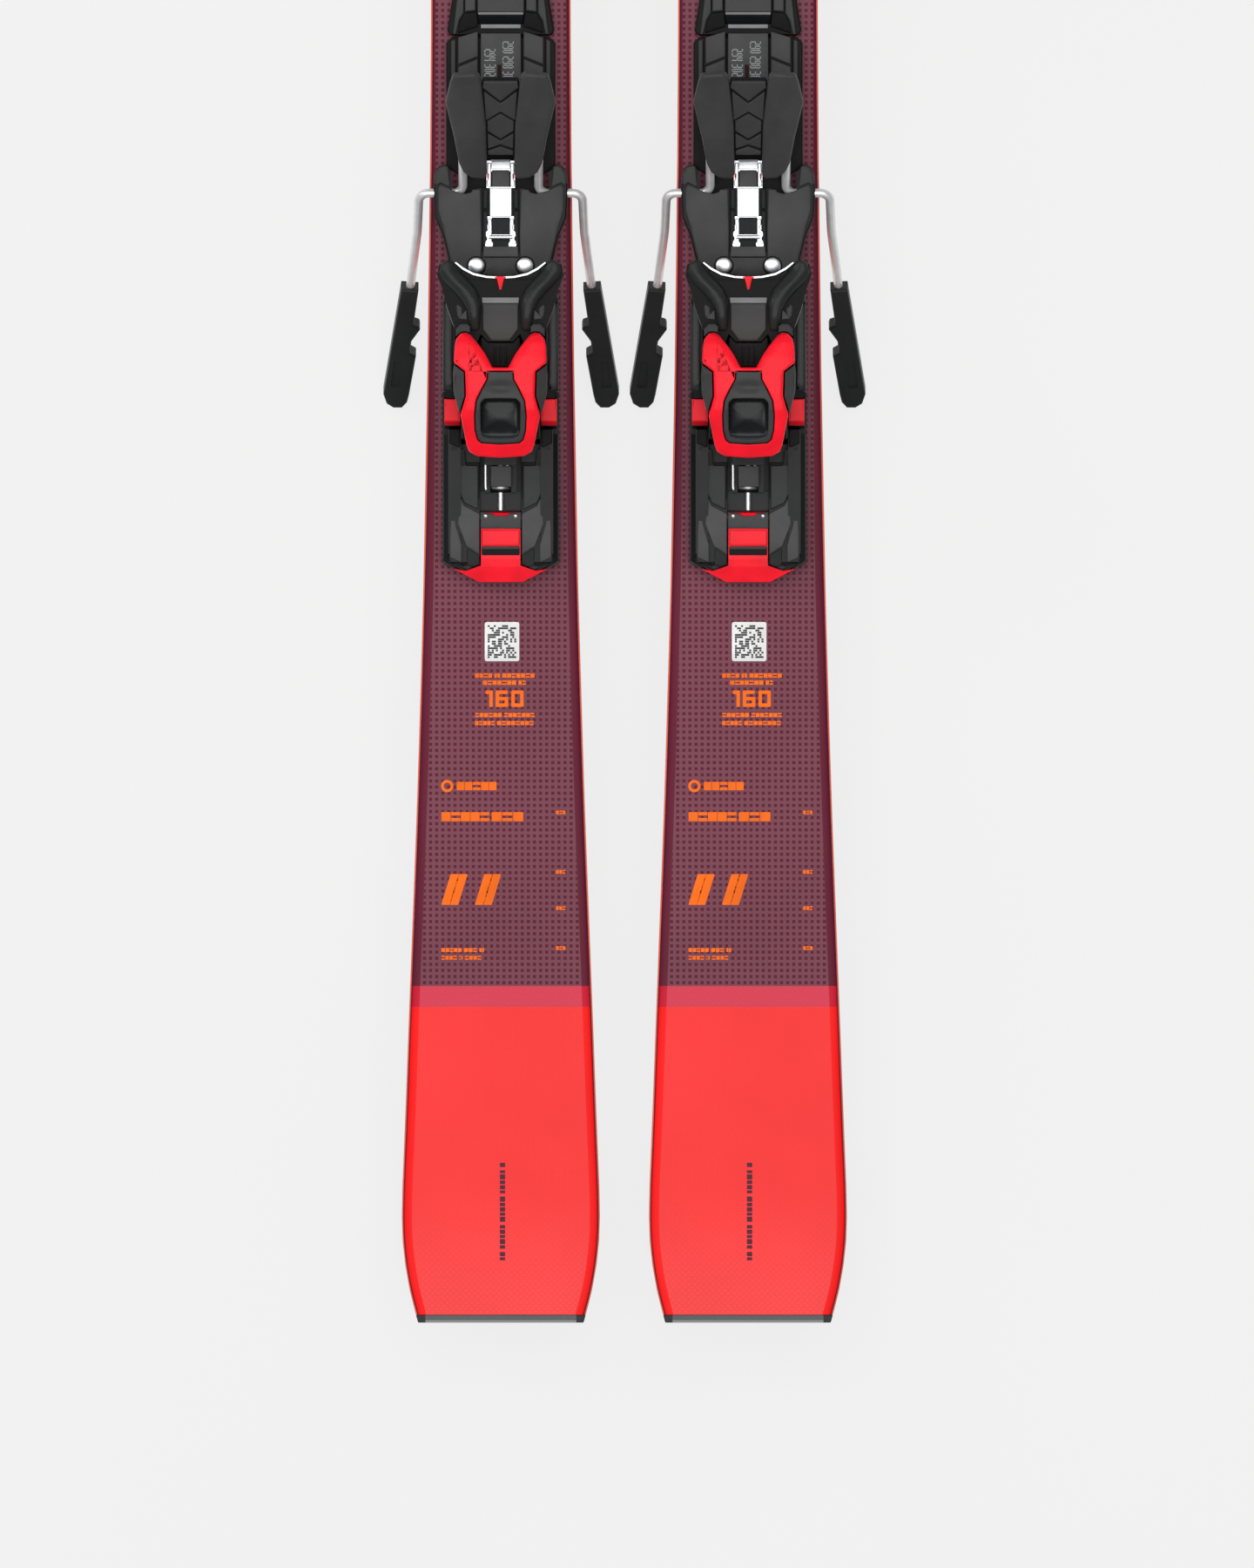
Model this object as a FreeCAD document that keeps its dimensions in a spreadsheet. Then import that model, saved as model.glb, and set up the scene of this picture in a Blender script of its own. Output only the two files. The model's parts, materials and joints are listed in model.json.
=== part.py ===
import FreeCAD
import Part
import Sketcher
import math
import os

# A pair of alpine skis with rail-mounted step-in bindings.
#
# Row frame: +Y runs from tail to tip, +X to the right when looking at the tips, +Z up.
# The origin is the middle of the pair's footprint, on the surface that the released brake
# arms stand on.  Millimetres.  Both skis are the same; every piece is built twice, once
# for each ski, from one sheet of dimensions.
#
# Binding sketches are drawn about the centre line of one ski, with z = 0 on the top sheet
# under the boot.  Ski layers are drawn with z = 0 on the flat middle of the running base.

V = FreeCAD.Vector
OUT = "parts"
os.makedirs(OUT, exist_ok=True)
for old in os.listdir(OUT):
    if old.endswith(".step"):
        os.remove(os.path.join(OUT, old))

doc = FreeCAD.newDocument("AlpineSkis")
sheet = doc.addObject("Spreadsheet::Sheet", "Dims")

DIMS = [
    # pair and ski
    ("ski_pitch", 124.2), ("ride_height", 50.657), ("end_y", 810.0), ("tail_half", 41.6),
    ("tail_wide_half", 49.8), ("waist_half", 35.05), ("shovel_half", 56.75),
    ("ski_thick", 15.0), ("base_thick", 1.6), ("top_thick", 2.2), ("edge_wide", 2.2),
    ("wall_wide", 6.0), ("top_inset", 0.7), ("camber", 3.5), ("tail_cap", 4.0), ("tip_cap", 17.0),
    # toe plate and toe piece
    ("plate_thick", 5.0), ("toe_ridge_top", 9.0), ("toe_ridge_wide", 23.6), ("jaw_pin_r", 3.0),
    ("jaw_pin_x", 14.5), ("jaw_pin_y", 24.0), ("jaw_low", 20.3), ("jaw_high", 46.7),
    ("toe_wide", 50.0), ("toe_spring_z", 26.0), ("toe_bore_r", 8.6), ("toe_plug_r", 6.6),
    ("afd_low", 5.3), ("afd_high", 8.8),
    # heel rail and carriage
    ("rail_half", 20.0), ("rail_foot_half", 17.0), ("rail_top", 8.0), ("front_half", 27.4),
    ("block_top", 8.2), ("car_half", 29.3), ("car_low", 0.6), ("car_deck", 10.8),
    ("slot_half", 20.4), ("slot_foot_half", 17.4), ("slot_top", 8.4), ("slot_lip", 4.7),
    ("wall_in", 22.8), ("wall_out", 28.7), ("wall_top", 32.0), ("ear_in", 20.3), ("ear_out", 28.2),
    ("axle_y", -352.0), ("axle_z", 25.0), ("axle_r", 3.95), ("axle_bore_r", 4.03),
    ("heel_spring_z", 14.6), ("heel_bore_r", 4.6), ("heel_head_r", 5.2), ("heel_head_bore", 5.4),
    ("lock_y", -405.5), ("lock_z", 13.0), ("lock_half", 9.9), ("lock_pin_r", 1.5),
    # heel housing and lever
    ("house_half", 19.6), ("cup_low", 37.0), ("cup_high", 53.0), ("lever_y", -338.0),
    ("lever_z", 44.0), ("lever_pin_r", 2.5), ("lever_half", 23.2),
    # brake
    ("brake_y", -242.8), ("brake_z", 11.0), ("wire_r", 2.25), ("wire_bore_r", 2.35),
    ("brake_low", 8.4), ("brake_high", 14.6), ("arm_x", 41.0), ("crank_x", 19.0),
    ("brake_drop", 35.0), ("pad_half_thick", 4.6), ("pedal_low", 3.2), ("pedal_mid", 6.0),
    ("pedal_high", 7.6),
]
for row, (alias, number) in enumerate(DIMS, 1):
    sheet.set("A%d" % row, alias)
    sheet.set("B%d" % row, str(number))
    sheet.setAlias("B%d" % row, alias)
doc.recompute()


def dim(alias):
    return float(sheet.get(alias))


def q(alias, k=1.0, off=0.0):
    """A driven coordinate: its value now and the expression that keeps it bound to the sheet."""
    return (dim(alias) * k + off, "Dims.%s * (%.6f) + (%.6f)" % (alias, k, off))


def val(c):
    return float(c[0]) if isinstance(c, tuple) else float(c)


# ---------------------------------------------------------------- PartDesign helpers
def new_body(name, place):
    body = doc.addObject("PartDesign::Body", name)
    body.Label = name
    body.Placement = place
    return body


def origin_plane(body, role):
    return [f for f in body.Origin.OriginFeatures if f.Role == role][0]


def start_sketch(body, role, off):
    sk = body.newObject("Sketcher::SketchObject", body.Name + "_s")
    sk.AttachmentSupport = (origin_plane(body, role), [""])
    sk.MapMode = "FlatFace"
    sk.AttachmentOffset = FreeCAD.Placement(V(0, 0, val(off)), FreeCAD.Rotation())
    if isinstance(off, tuple):
        sk.setExpression("AttachmentOffset.Base.z", off[1])
    return sk


def add_loop(sk, pts):
    """A closed polygon whose corners are all dimensioned from the sketch origin."""
    first = sk.GeometryCount
    n = len(pts)
    for i in range(n):
        a, b = pts[i], pts[(i + 1) % n]
        sk.addGeometry(Part.LineSegment(V(val(a[0]), val(a[1]), 0), V(val(b[0]), val(b[1]), 0)), False)
    sk.addConstraint([Sketcher.Constraint("Coincident", first + i, 2, first + (i + 1) % n, 1) for i in range(n)])
    for i in range(n):
        for kind, c in (("DistanceX", pts[i][0]), ("DistanceY", pts[i][1])):
            k = sk.addConstraint(Sketcher.Constraint(kind, -1, 1, first + i, 1, val(c)))
            if isinstance(c, tuple):
                name = "%s%d" % (kind[-1].lower(), first + i)
                sk.renameConstraint(k, name)
                sk.setExpression("Constraints." + name, c[1])


def poly(body, role, loops, off=0.0):
    sk = start_sketch(body, role, off)
    if not isinstance(loops[0], list):
        loops = [loops]
    for pts in loops:
        add_loop(sk, pts)
    return sk


def rings(body, role, circles, off=0.0):
    sk = start_sketch(body, role, off)
    for i, (cx, cy, r) in enumerate(circles):
        sk.addGeometry(Part.Circle(V(val(cx), val(cy), 0), V(0, 0, 1), val(r)), False)
        for kind, c in (("DistanceX", cx), ("DistanceY", cy)):
            k = sk.addConstraint(Sketcher.Constraint(kind, -1, 1, i, 3, val(c)))
            if isinstance(c, tuple):
                sk.renameConstraint(k, "%s%d" % (kind[-1].lower(), i))
                sk.setExpression("Constraints.%s%d" % (kind[-1].lower(), i), c[1])
        k = sk.addConstraint(Sketcher.Constraint("Radius", i, val(r)))
        if isinstance(r, tuple):
            sk.renameConstraint(k, "r%d" % i)
            sk.setExpression("Constraints.r%d" % i, r[1])
    return sk


def length_of(feature, length):
    feature.Length = val(length)
    if isinstance(length, tuple):
        feature.setExpression("Length", length[1])


def volume(body):
    return body.Shape.Volume if body.Tip else 0.0


def pad(body, sk, length, both=False, rev=False):
    f = body.newObject("PartDesign::Pad", body.Name + "_pad")
    f.Profile = sk
    length_of(f, length)
    f.SideType = "Symmetric" if both else "One side"
    f.Reversed = rev
    sk.Visibility = False
    doc.recompute()
    return f


def pocket(body, sk, length, both=False, rev=False):
    before = body.Tip.Shape.Volume
    f = body.newObject("PartDesign::Pocket", body.Name + "_cut")
    f.Profile = sk
    length_of(f, length)
    f.SideType = "Symmetric" if both else "One side"
    f.Reversed = rev
    doc.recompute()
    if not f.Shape.Volume < before - 1e-3:
        raise RuntimeError(body.Label + ": a pocket cut nothing")
    return f


def fillet(body, test, radius, kind="PartDesign::Fillet"):
    """Rounds the edges that test() picks.  Left off where the kernel can't build it."""
    tip = body.Tip
    names = ["Edge%d" % (i + 1) for i, e in enumerate(tip.Shape.Edges) if test(e)]
    if not names:
        print("no edge to round on", body.Label)
        return None
    f = body.newObject(kind, body.Name + "_round")
    f.Base = (tip, names)
    if kind.endswith("Fillet"):
        f.Radius = radius
    else:
        f.Size = radius
    doc.recompute()
    ok = "Invalid" not in f.State and not f.Shape.isNull() and f.Shape.isValid() and f.Shape.Volume > 0.5 * tip.Shape.Volume
    if not ok:
        body.removeObject(f)
        doc.removeObject(f.Name)
        body.Tip = tip
        doc.recompute()
        print("round of %.2f left off %s" % (radius, body.Label))
        return None
    return f


def upright(e):
    d = e.Vertexes[-1].Point - e.Vertexes[0].Point
    return len(e.Vertexes) == 2 and d.Length > 1.0 and abs(d.z) > 0.999 * d.Length and e.Curve.TypeId == "Part::GeomLine"


def at_z(z, tol=0.02):
    return lambda e: abs(e.BoundBox.ZMin - z) < tol and abs(e.BoundBox.ZMax - z) < tol


def mirror(pts):
    """Closes a right-hand half outline, listed from the centre line round, with its mirror image."""
    left = [(((-p[0][0], "-(" + p[0][1] + ")") if isinstance(p[0], tuple) else -p[0]), p[1]) for p in reversed(pts) if abs(val(p[0])) > 1e-9]
    return list(pts) + left


def flip(pts, s):
    """The same outline on side s (+1 right, -1 left)."""
    if s > 0:
        return list(pts)
    return [(((-p[0][0], "-(" + p[0][1] + ")") if isinstance(p[0], tuple) else -p[0]), p[1]) for p in reversed(pts)]


def box(x0, y0, x1, y1):
    return [(x0, y0), (x1, y0), (x1, y1), (x0, y1)]


# ---------------------------------------------------------------- ski outline and profile
END = dim("end_y")
SIDE_PTS = [(-757, dim("tail_wide_half")), (-723, 48.75), (-670, 46.75), (-618, 44.75), (-566, 42.75), (-514, 41.0),
            (-462, 39.5), (-406, 38.15), (-340, 37.0), (-280, 36.15), (-215, 35.45), (-140, dim("waist_half")),
            (-40, 35.4), (60, 36.4), (160, 38.1), (260, 40.4), (360, 43.4), (460, 47.1), (540, 50.6), (610, 54.2),
            (668, dim("shovel_half"))]
TAIL_PTS = [(-END, dim("tail_half")), (-801.5, 43.9), (-792, 46.2), (-781, 48.1), (-769, 49.4), (-757, dim("tail_wide_half"))]
TIP_PTS = [(668, dim("shovel_half")), (700, 56.1), (735, 52.6), (765, 45.3), (788, 34.5), (803, 19.0), (END, 0.0)]

# height of the running base above its flat middle, and the ski's thickness, along the ski
BASE_REAR = [(-END, 5.2), (-790, 2.2), (-768, -1.2), (-742, -3.3), (-700, -3.5), (-640, -2.75), (-560, -1.35), (-490, -0.35), (-440, 0.0)]
TOP_REAR = [(-END, 11.4), (-790, 8.9), (-768, 5.9), (-742, 4.3), (-700, 4.7), (-640, 6.6), (-560, 9.9), (-490, 13.2), (-440, 15.0)]
BASE_FRONT = [(120, 0.0), (180, -0.3), (260, -1.1), (350, -2.2), (430, -3.05), (510, -3.5), (570, -3.3), (630, -1.6), (680, 3.2), (720, 11.2), (755, 22.4), (785, 35.2), (END, 47.0)]
TOP_FRONT = [(120, 15.0), (180, 13.4), (260, 11.0), (350, 8.4), (430, 6.3), (510, 4.9), (570, 4.4), (630, 5.3), (680, 9.4), (720, 17.0), (755, 27.9), (785, 40.5), (END, 52.2)]


def spline(points, t0=None, t1=None):
    c = Part.BSplineCurve()
    args = {"Points": points}
    if t0 is not None or t1 is not None:
        args["InitialTangent"] = t0 if t0 is not None else (points[1] - points[0]).normalize()
        args["FinalTangent"] = t1 if t1 is not None else (points[-1] - points[-2]).normalize()
    c.interpolate(**args)
    return c


def outline_sketch(name, inset):
    """The ski's outline seen from above, moved in by inset, as a closed sketch."""
    def moved(pts):
        out = []
        for i, (y, w) in enumerate(pts):
            a = pts[max(i - 1, 0)]
            b = pts[min(i + 1, len(pts) - 1)]
            t = V(b[1] - a[1], b[0] - a[0], 0).normalize()
            if abs(w - dim("tail_wide_half")) < 1e-6 or abs(w - dim("shovel_half")) < 1e-6 or abs(w - dim("waist_half")) < 1e-6:
                t = V(0, 1, 0)
            if w == 0.0:
                t = V(-1, 0, 0)
            n = V(-t.y, t.x, 0)
            p = V(w, y, 0) + n * inset
            out.append(p)
        return out

    up, left = V(0, 1, 0), V(-1, 0, 0)
    tail, side, tip = moved(TAIL_PTS), moved(SIDE_PTS), moved(TIP_PTS)
    tail[0].y = -END
    right = [spline(tail, None, up), spline(side, up, up), spline(tip, up, left)]
    sk = doc.addObject("Sketcher::SketchObject", name)
    for c in right:
        sk.addGeometry(c, False)
    m = FreeCAD.Matrix()
    m.scale(-1, 1, 1)
    for pts, a, b in ((tail, None, up), (side, up, up), (tip, up, left)):
        mp = [V(-p.x, p.y, 0) for p in pts]
        tb = V(1, 0, 0) if b is left else b
        sk.addGeometry(spline(mp, None if a is None else a, tb), False)
    sk.addGeometry(Part.LineSegment(V(-tail[0].x, -END, 0), V(tail[0].x, -END, 0)), False)
    return sk


def strip_sketch(name, low, high, y0, y1):
    """A lengthwise slice of the laminate in the YZ plane.  low and high give the height of each
    side as (share of the way from base to top, offset), so that a layer follows the camber."""
    def level(base, top, spec):
        return [V(b[0], b[1] + (t[1] - b[1]) * spec[0] + spec[1], 0) for b, t in zip(base, top)]

    flat = V(1, 0, 0)

    def run(spec):
        rear = spline(level(BASE_REAR, TOP_REAR, spec), None, flat)
        front = spline(level(BASE_FRONT, TOP_FRONT, spec), flat, None)
        z = spec[0] * dim("ski_thick") + spec[1]
        out = []
        if y0 < -440:
            r = rear.copy()
            if y0 > -END + 1e-6:
                hits = r.intersectCC(Part.Line(V(y0, -500, 0), V(y0, 500, 0)))
                r.segment(r.parameter(V(hits[0].X, hits[0].Y, 0)), r.LastParameter)
            if y1 < -440:
                hits = r.intersectCC(Part.Line(V(y1, -500, 0), V(y1, 500, 0)))
                r.segment(r.FirstParameter, r.parameter(V(hits[0].X, hits[0].Y, 0)))
            out.append(r)
        if y0 < 120 and y1 > -440:
            out.append(Part.LineSegment(V(max(y0, -440), z, 0), V(min(y1, 120), z, 0)))
        if y1 > 120:
            r = front.copy()
            if y0 > 120:
                hits = r.intersectCC(Part.Line(V(y0, -500, 0), V(y0, 500, 0)))
                r.segment(r.parameter(V(hits[0].X, hits[0].Y, 0)), r.LastParameter)
            if y1 < END - 1e-6:
                hits = r.intersectCC(Part.Line(V(y1, -500, 0), V(y1, 500, 0)))
                r.segment(r.FirstParameter, r.parameter(V(hits[0].X, hits[0].Y, 0)))
            out.append(r)
        return out

    lo, hi = run(low), run(high)
    sk = doc.addObject("Sketcher::SketchObject", name)
    for c in lo + hi:
        sk.addGeometry(c, False)

    def end(c, last):
        return c.value(c.LastParameter if last else c.FirstParameter)

    sk.addGeometry(Part.LineSegment(end(lo[0], False), end(hi[0], False)), False)
    sk.addGeometry(Part.LineSegment(end(lo[-1], True), end(hi[-1], True)), False)
    # YZ plane: sketch x is the row's Y, sketch y is the row's Z
    sk.Placement = FreeCAD.Placement(V(0, 0, 0), FreeCAD.Rotation(V(1, 1, 1), 120))
    return sk


def extrude(name, sk, direction, fwd, both=False, base=0.0):
    e = doc.addObject("Part::Extrusion", name)
    e.Base = sk
    e.DirMode = "Custom"
    e.Dir = direction
    e.LengthFwd = val(fwd)
    if isinstance(fwd, tuple):
        e.setExpression("LengthFwd", fwd[1])
    e.Solid = True
    e.Symmetric = both
    if base:
        e.Placement = FreeCAD.Placement(V(0, 0, base), FreeCAD.Rotation())
    return e


OUTLINES = {}
for key, inset in (("full", 0.0), ("edge", dim("edge_wide")), ("wall", dim("wall_wide")), ("top", dim("top_inset"))):
    sk = outline_sketch("outline_" + key, inset)
    OUTLINES[key] = extrude("column_" + key, sk, V(0, 0, 1), 90.0, base=-25.0)
Y0 = -END + dim("tail_cap")
Y1 = END - dim("tip_cap")
BT, TT = dim("base_thick"), dim("top_thick")
STRIPS = {
    "base": ((0, 0), (0, BT), Y0, Y1),
    "mid": ((0, BT), (1, -TT), Y0, Y1),
    "top": ((1, -TT), (1, 0), Y0, Y1),
    "tail": ((0, 0), (1, 0.0), -END, Y0),
    "tip": ((0, 0), (1, 0.0), Y1, END),
}
SLICES = {}
for key, (low, high, ya, yb) in STRIPS.items():
    SLICES[key] = extrude("slice_" + key, strip_sketch("profile_" + key, low, high, ya, yb), V(1, 0, 0), q("shovel_half", 4.0), both=True)
doc.recompute()


def common(name, a, b):
    c = doc.addObject("Part::Common", name)
    c.Base, c.Tool = a, b
    return c


def cut(name, a, b):
    c = doc.addObject("Part::Cut", name)
    c.Base, c.Tool = a, b
    return c


# track screws: four in the toe plate and six in the heel rail, x, y, top of head
SCREWS = [(s * x, y, top) for s in (1, -1) for x, y, top in ((16.0, -141.0, 4.6), (16.0, -68.0, 4.6), (16.0, -221.0, 4.6), (11.0, -290.0, 7.6), (11.0, -414.0, 7.6))]
HEAD_R, SHANK_R, SINK = 4.4, 2.3, 2.6
SCREW_DEEP = 9.0


def screw_shape(x, y, top):
    r = HEAD_R
    head = Part.makeCone(SHANK_R, r, SINK - 0.6, V(x, y, top - SINK), V(0, 0, 1))
    rim = Part.makeCylinder(r, 0.6, V(x, y, top - 0.6), V(0, 0, 1))
    shank = Part.makeCylinder(SHANK_R, top - SINK + SCREW_DEEP, V(x, y, -SCREW_DEEP), V(0, 0, 1))
    return head.fuse(rim).fuse(shank).removeSplitter()


def screw_slots(x, y, top):
    a = Part.makeBox(5.0, 1.1, 1.5, V(x - 2.5, y - 0.55, top - 1.4))
    b = Part.makeBox(1.1, 5.0, 1.5, V(x - 0.55, y - 2.5, top - 1.4))
    return a.fuse(b)


drill = doc.addObject("Part::Feature", "screw_drill")
drill.Shape = Part.makeCompound([Part.makeCylinder(SHANK_R, SCREW_DEEP + 40.0, V(x, y, dim("ski_thick") - SCREW_DEEP), V(0, 0, 1)) for x, y, _ in SCREWS])

LAYERS = {
    "base_sheet": common("lay_base", OUTLINES["edge"], SLICES["base"]),
    "steel_edges": cut("lay_edges", common("lay_edges_a", OUTLINES["full"], SLICES["base"]), OUTLINES["edge"]),
    "sidewalls": cut("lay_walls", common("lay_walls_a", OUTLINES["full"], SLICES["mid"]), OUTLINES["wall"]),
    "wood_core": cut("lay_core", common("lay_core_a", OUTLINES["wall"], SLICES["mid"]), drill),
    "topsheet": cut("lay_top", common("lay_top_a", OUTLINES["top"], SLICES["top"]), drill),
}
tail_piece = common("lay_tail", OUTLINES["full"], SLICES["tail"])
tip_piece = common("lay_tip", OUTLINES["full"], SLICES["tip"])
doc.recompute()

# the core and the sidewalls are milled and glued in six lengths, butted end to end
JOINTS_AT = [-END - 20.0, -640.0, -450.0, -220.0, 600.0, 715.0, END + 20.0]


def in_lengths(shape):
    pieces = []
    for a, b in zip(JOINTS_AT, JOINTS_AT[1:]):
        part = shape.common(Part.makeBox(200.0, b - a, 200.0, V(-100.0, a, -60.0)))
        pieces += part.Solids
    return Part.makeCompound(pieces)


NODES = []


def emit(name, obj):
    obj.Label = name
    NODES.append((name, obj))
    return obj


# ---------------------------------------------------------------- one ski with its binding
for side, sgn in (("left", -1), ("right", 1)):
    pre = side + "_ski_"
    x0 = sgn * dim("ski_pitch") / 2
    ski_at = FreeCAD.Placement(V(x0, 0, dim("ride_height")), FreeCAD.Rotation())
    top_at = FreeCAD.Placement(V(x0, 0, dim("ride_height") + dim("ski_thick")), FreeCAD.Rotation())

    # the laminate: each layer is the outline column met by its lengthwise slice
    for layer, source in LAYERS.items():
        f = doc.addObject("Part::Feature", pre + layer)
        f.Shape = in_lengths(source.Shape) if layer in ("wood_core", "sidewalls") else source.Shape.copy()
        f.Placement = ski_at
        emit(pre + layer, f)
    f = doc.addObject("Part::Feature", pre + "end_protectors")
    f.Shape = Part.makeCompound([tail_piece.Shape.copy(), tip_piece.Shape.copy()])
    f.Placement = ski_at
    emit(pre + "end_protectors", f)

    # toe plate
    b = new_body(pre + "toe_track", top_at)
    pad(b, poly(b, "XY_Plane", mirror([(0, -163.6), (27.3, -163.6), (24.4, -145.7), (22.0, -126.0), (22.0, -62.0), (29.0, -50.0), (29.5, -10.0), (27.5, 40.0), (26.5, 78.0), (20.0, 95.0), (0, 99.0)])), q("plate_thick"))
    fillet(b, upright, 3.0)
    fillet(b, at_z(dim("plate_thick")), 1.0)
    pad(b, poly(b, "YZ_Plane", [(-158.4, 4.6), (-152.8, q("toe_ridge_top")), (-62.0, q("toe_ridge_top")), (-54.0, 4.6)]), q("toe_ridge_wide"), both=True)
    pad(b, poly(b, "XY_Plane", [flip(box(14.6, -132.0, 18.6, -76.0), s) for s in (1, -1)], 4.6), 2.6)
    pocket(b, poly(b, "YZ_Plane", box(-34.4, 2.5, -25.6, 6.0)), 80.0, both=True)
    for x, y, top in SCREWS:
        if y > -160:
            pocket(b, rings(b, "XY_Plane", [(x, y, SHANK_R)], 0.0), 12.0, rev=True)
            pocket(b, rings(b, "XY_Plane", [(x, y, HEAD_R + 0.3)], top - SINK), 12.0, rev=True)
    emit(pre + "toe_track", b)

    # heel rail: wide front foot, T-section rail behind it under the carriage
    b = new_body(pre + "heel_track", top_at)
    pad(b, poly(b, "XY_Plane", mirror([(0, -164.4), (24.6, -164.4), (q("front_half"), -167.4), (q("front_half"), -229.0), (22.0, -233.0), (0, -233.0)])), q("plate_thick"))
    fillet(b, at_z(dim("plate_thick")), 0.8)
    pad(b, poly(b, "XY_Plane", mirror([(0, -231.0), (q("rail_foot_half"), -231.0), (q("rail_foot_half"), -424.0), (0, -424.0)])), q("plate_thick"))
    pad(b, poly(b, "XZ_Plane", [(q("rail_half", -1), q("plate_thick")), (q("rail_half"), q("plate_thick")), (q("rail_half"), q("rail_top")), (q("rail_half", -1), q("rail_top"))], 233.0), 191.0)
    pad(b, poly(b, "XY_Plane", [flip([(11.4, -165.6), (21.9, -165.6), (21.9, -207.0), (11.4, -207.0)], s) for s in (1, -1)], 4.0), q("block_top", 1, -4.0))
    pad(b, poly(b, "XY_Plane", mirror([(0, -166.6), (10.4, -166.6), (10.4, -207.0), (0, -207.0)]), 4.0), 2.4)
    tooth = pocket(b, poly(b, "XY_Plane", mirror([(0, -302.0), (5.0, -302.0), (5.0, -304.4), (0, -304.4)]), q("rail_top")), 1.6)
    row_of = b.newObject("PartDesign::LinearPattern", b.Name + "_row")
    row_of.Originals = [tooth]
    row_of.Direction = (origin_plane(b, "XZ_Plane"), [""])
    row_of.Length = 96.0
    row_of.Occurrences = 20
    b.Tip = row_of
    doc.recompute()
    if row_of.Shape.BoundBox.YMax > b.Shape.BoundBox.YMax + 1 or row_of.Shape.Volume >= tooth.Shape.Volume - 100:
        row_of.Reversed = True
        doc.recompute()
    for x, y, top in SCREWS:
        if y < -160:
            pocket(b, rings(b, "XY_Plane", [(x, y, SHANK_R)], 0.0), 12.0, rev=True)
            pocket(b, rings(b, "XY_Plane", [(x, y, HEAD_R + 0.3)], top - SINK), 12.0, rev=True)
    emit(pre + "heel_track", b)

    f = doc.addObject("Part::Feature", pre + "track_screws")
    f.Shape = Part.makeCompound([screw_shape(*s).cut(screw_slots(*s)) for s in SCREWS])
    f.Placement = top_at
    emit(pre + "track_screws", f)

    # toe piece: C-shaped housing, two jaws on upright pins, spring and setting screw in a bore
    b = new_body(pre + "toe_housing", top_at)
    pad(b, poly(b, "YZ_Plane", [(10.0, 5.0), (88.0, 5.0), (94.0, 11.0), (94.0, 33.0), (86.0, 41.0), (64.0, 54.0), (44.0, 60.0), (20.0, 60.0), (10.0, 56.0), (10.0, 47.0), (34.0, 47.0), (34.0, 20.0), (10.0, 20.0)]), q("toe_wide"), both=True)
    pocket(b, poly(b, "XY_Plane", [flip([(26.0, 8.0), (24.5, 8.0), (24.5, 52.0), (15.0, 96.0), (26.0, 96.0)], s) for s in (1, -1)]), 130.0, both=True)
    fillet(b, lambda e: upright(e) and e.BoundBox.YMin > 40, 4.0)
    fillet(b, lambda e: e.BoundBox.ZMin > 48 and e.BoundBox.ZMax > 50 and not upright(e) and e.BoundBox.YMax - e.BoundBox.YMin > 8, 4.0)
    pocket(b, rings(b, "XZ_Plane", [(0, q("toe_spring_z"), q("toe_bore_r"))], -33.0), 52.0)
    pocket(b, rings(b, "XZ_Plane", [(0, q("toe_spring_z"), q("toe_plug_r"))], -84.0), 20.0)
    pocket(b, rings(b, "XY_Plane", [(q("jaw_pin_x", s), q("jaw_pin_y"), q("jaw_pin_r")) for s in (1, -1)], 14.0), 70.0, rev=True)
    emit(pre + "toe_housing", b)

    pins = doc.addObject("Part::Feature", pre + "toe_jaw_pins")
    pins.Shape = Part.makeCompound([Part.makeCylinder(dim("jaw_pin_r"), 43.5, V(s * dim("jaw_pin_x"), dim("jaw_pin_y"), 14.0)).fuse(Part.makeCone(dim("jaw_pin_r"), dim("jaw_pin_r") - 0.8, 1.0, V(s * dim("jaw_pin_x"), dim("jaw_pin_y"), 57.5))).removeSplitter() for s in (1, -1)])
    pins.Placement = top_at
    emit(pre + "toe_jaw_pins", pins)

    for word, s in (("left", -1), ("right", 1)):
        b = new_body(pre + "toe_jaw_" + word, top_at)
        tall = q("jaw_high", 1, -dim("jaw_low"))
        pad(b, rings(b, "XY_Plane", [(q("jaw_pin_x", s), q("jaw_pin_y"), 7.2)], q("jaw_low")), tall)
        pad(b, poly(b, "XY_Plane", flip([(14.5, 31.0), (22.0, 29.5), (31.0, 23.0), (36.6, 14.0), (38.8, 3.0), (37.6, -7.0), (34.5, -9.5), (31.6, -8.0), (31.2, -3.0), (31.6, 4.0), (28.0, 12.0), (21.5, 17.0), (14.5, 17.2)], s), 24.0), q("jaw_high", 1, -24.0))
        pad(b, poly(b, "XY_Plane", flip([(32.5, -8.0), (32.5, 8.0), (26.0, 8.5), (23.5, 2.0), (25.0, -5.0)], s), 40.0), q("jaw_high", 1, -40.0))
        fillet(b, lambda e: upright(e) and e.BoundBox.YMax < 29, 1.6)
        fillet(b, lambda e: at_z(dim("jaw_high"))(e) and e.BoundBox.YMin < 16, 1.4)
        pocket(b, rings(b, "XY_Plane", [(q("jaw_pin_x", s), q("jaw_pin_y"), q("jaw_pin_r", 1, 0.08))], 0.0), 100.0, rev=True)
        emit(pre + "toe_jaw_" + word, b)

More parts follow.
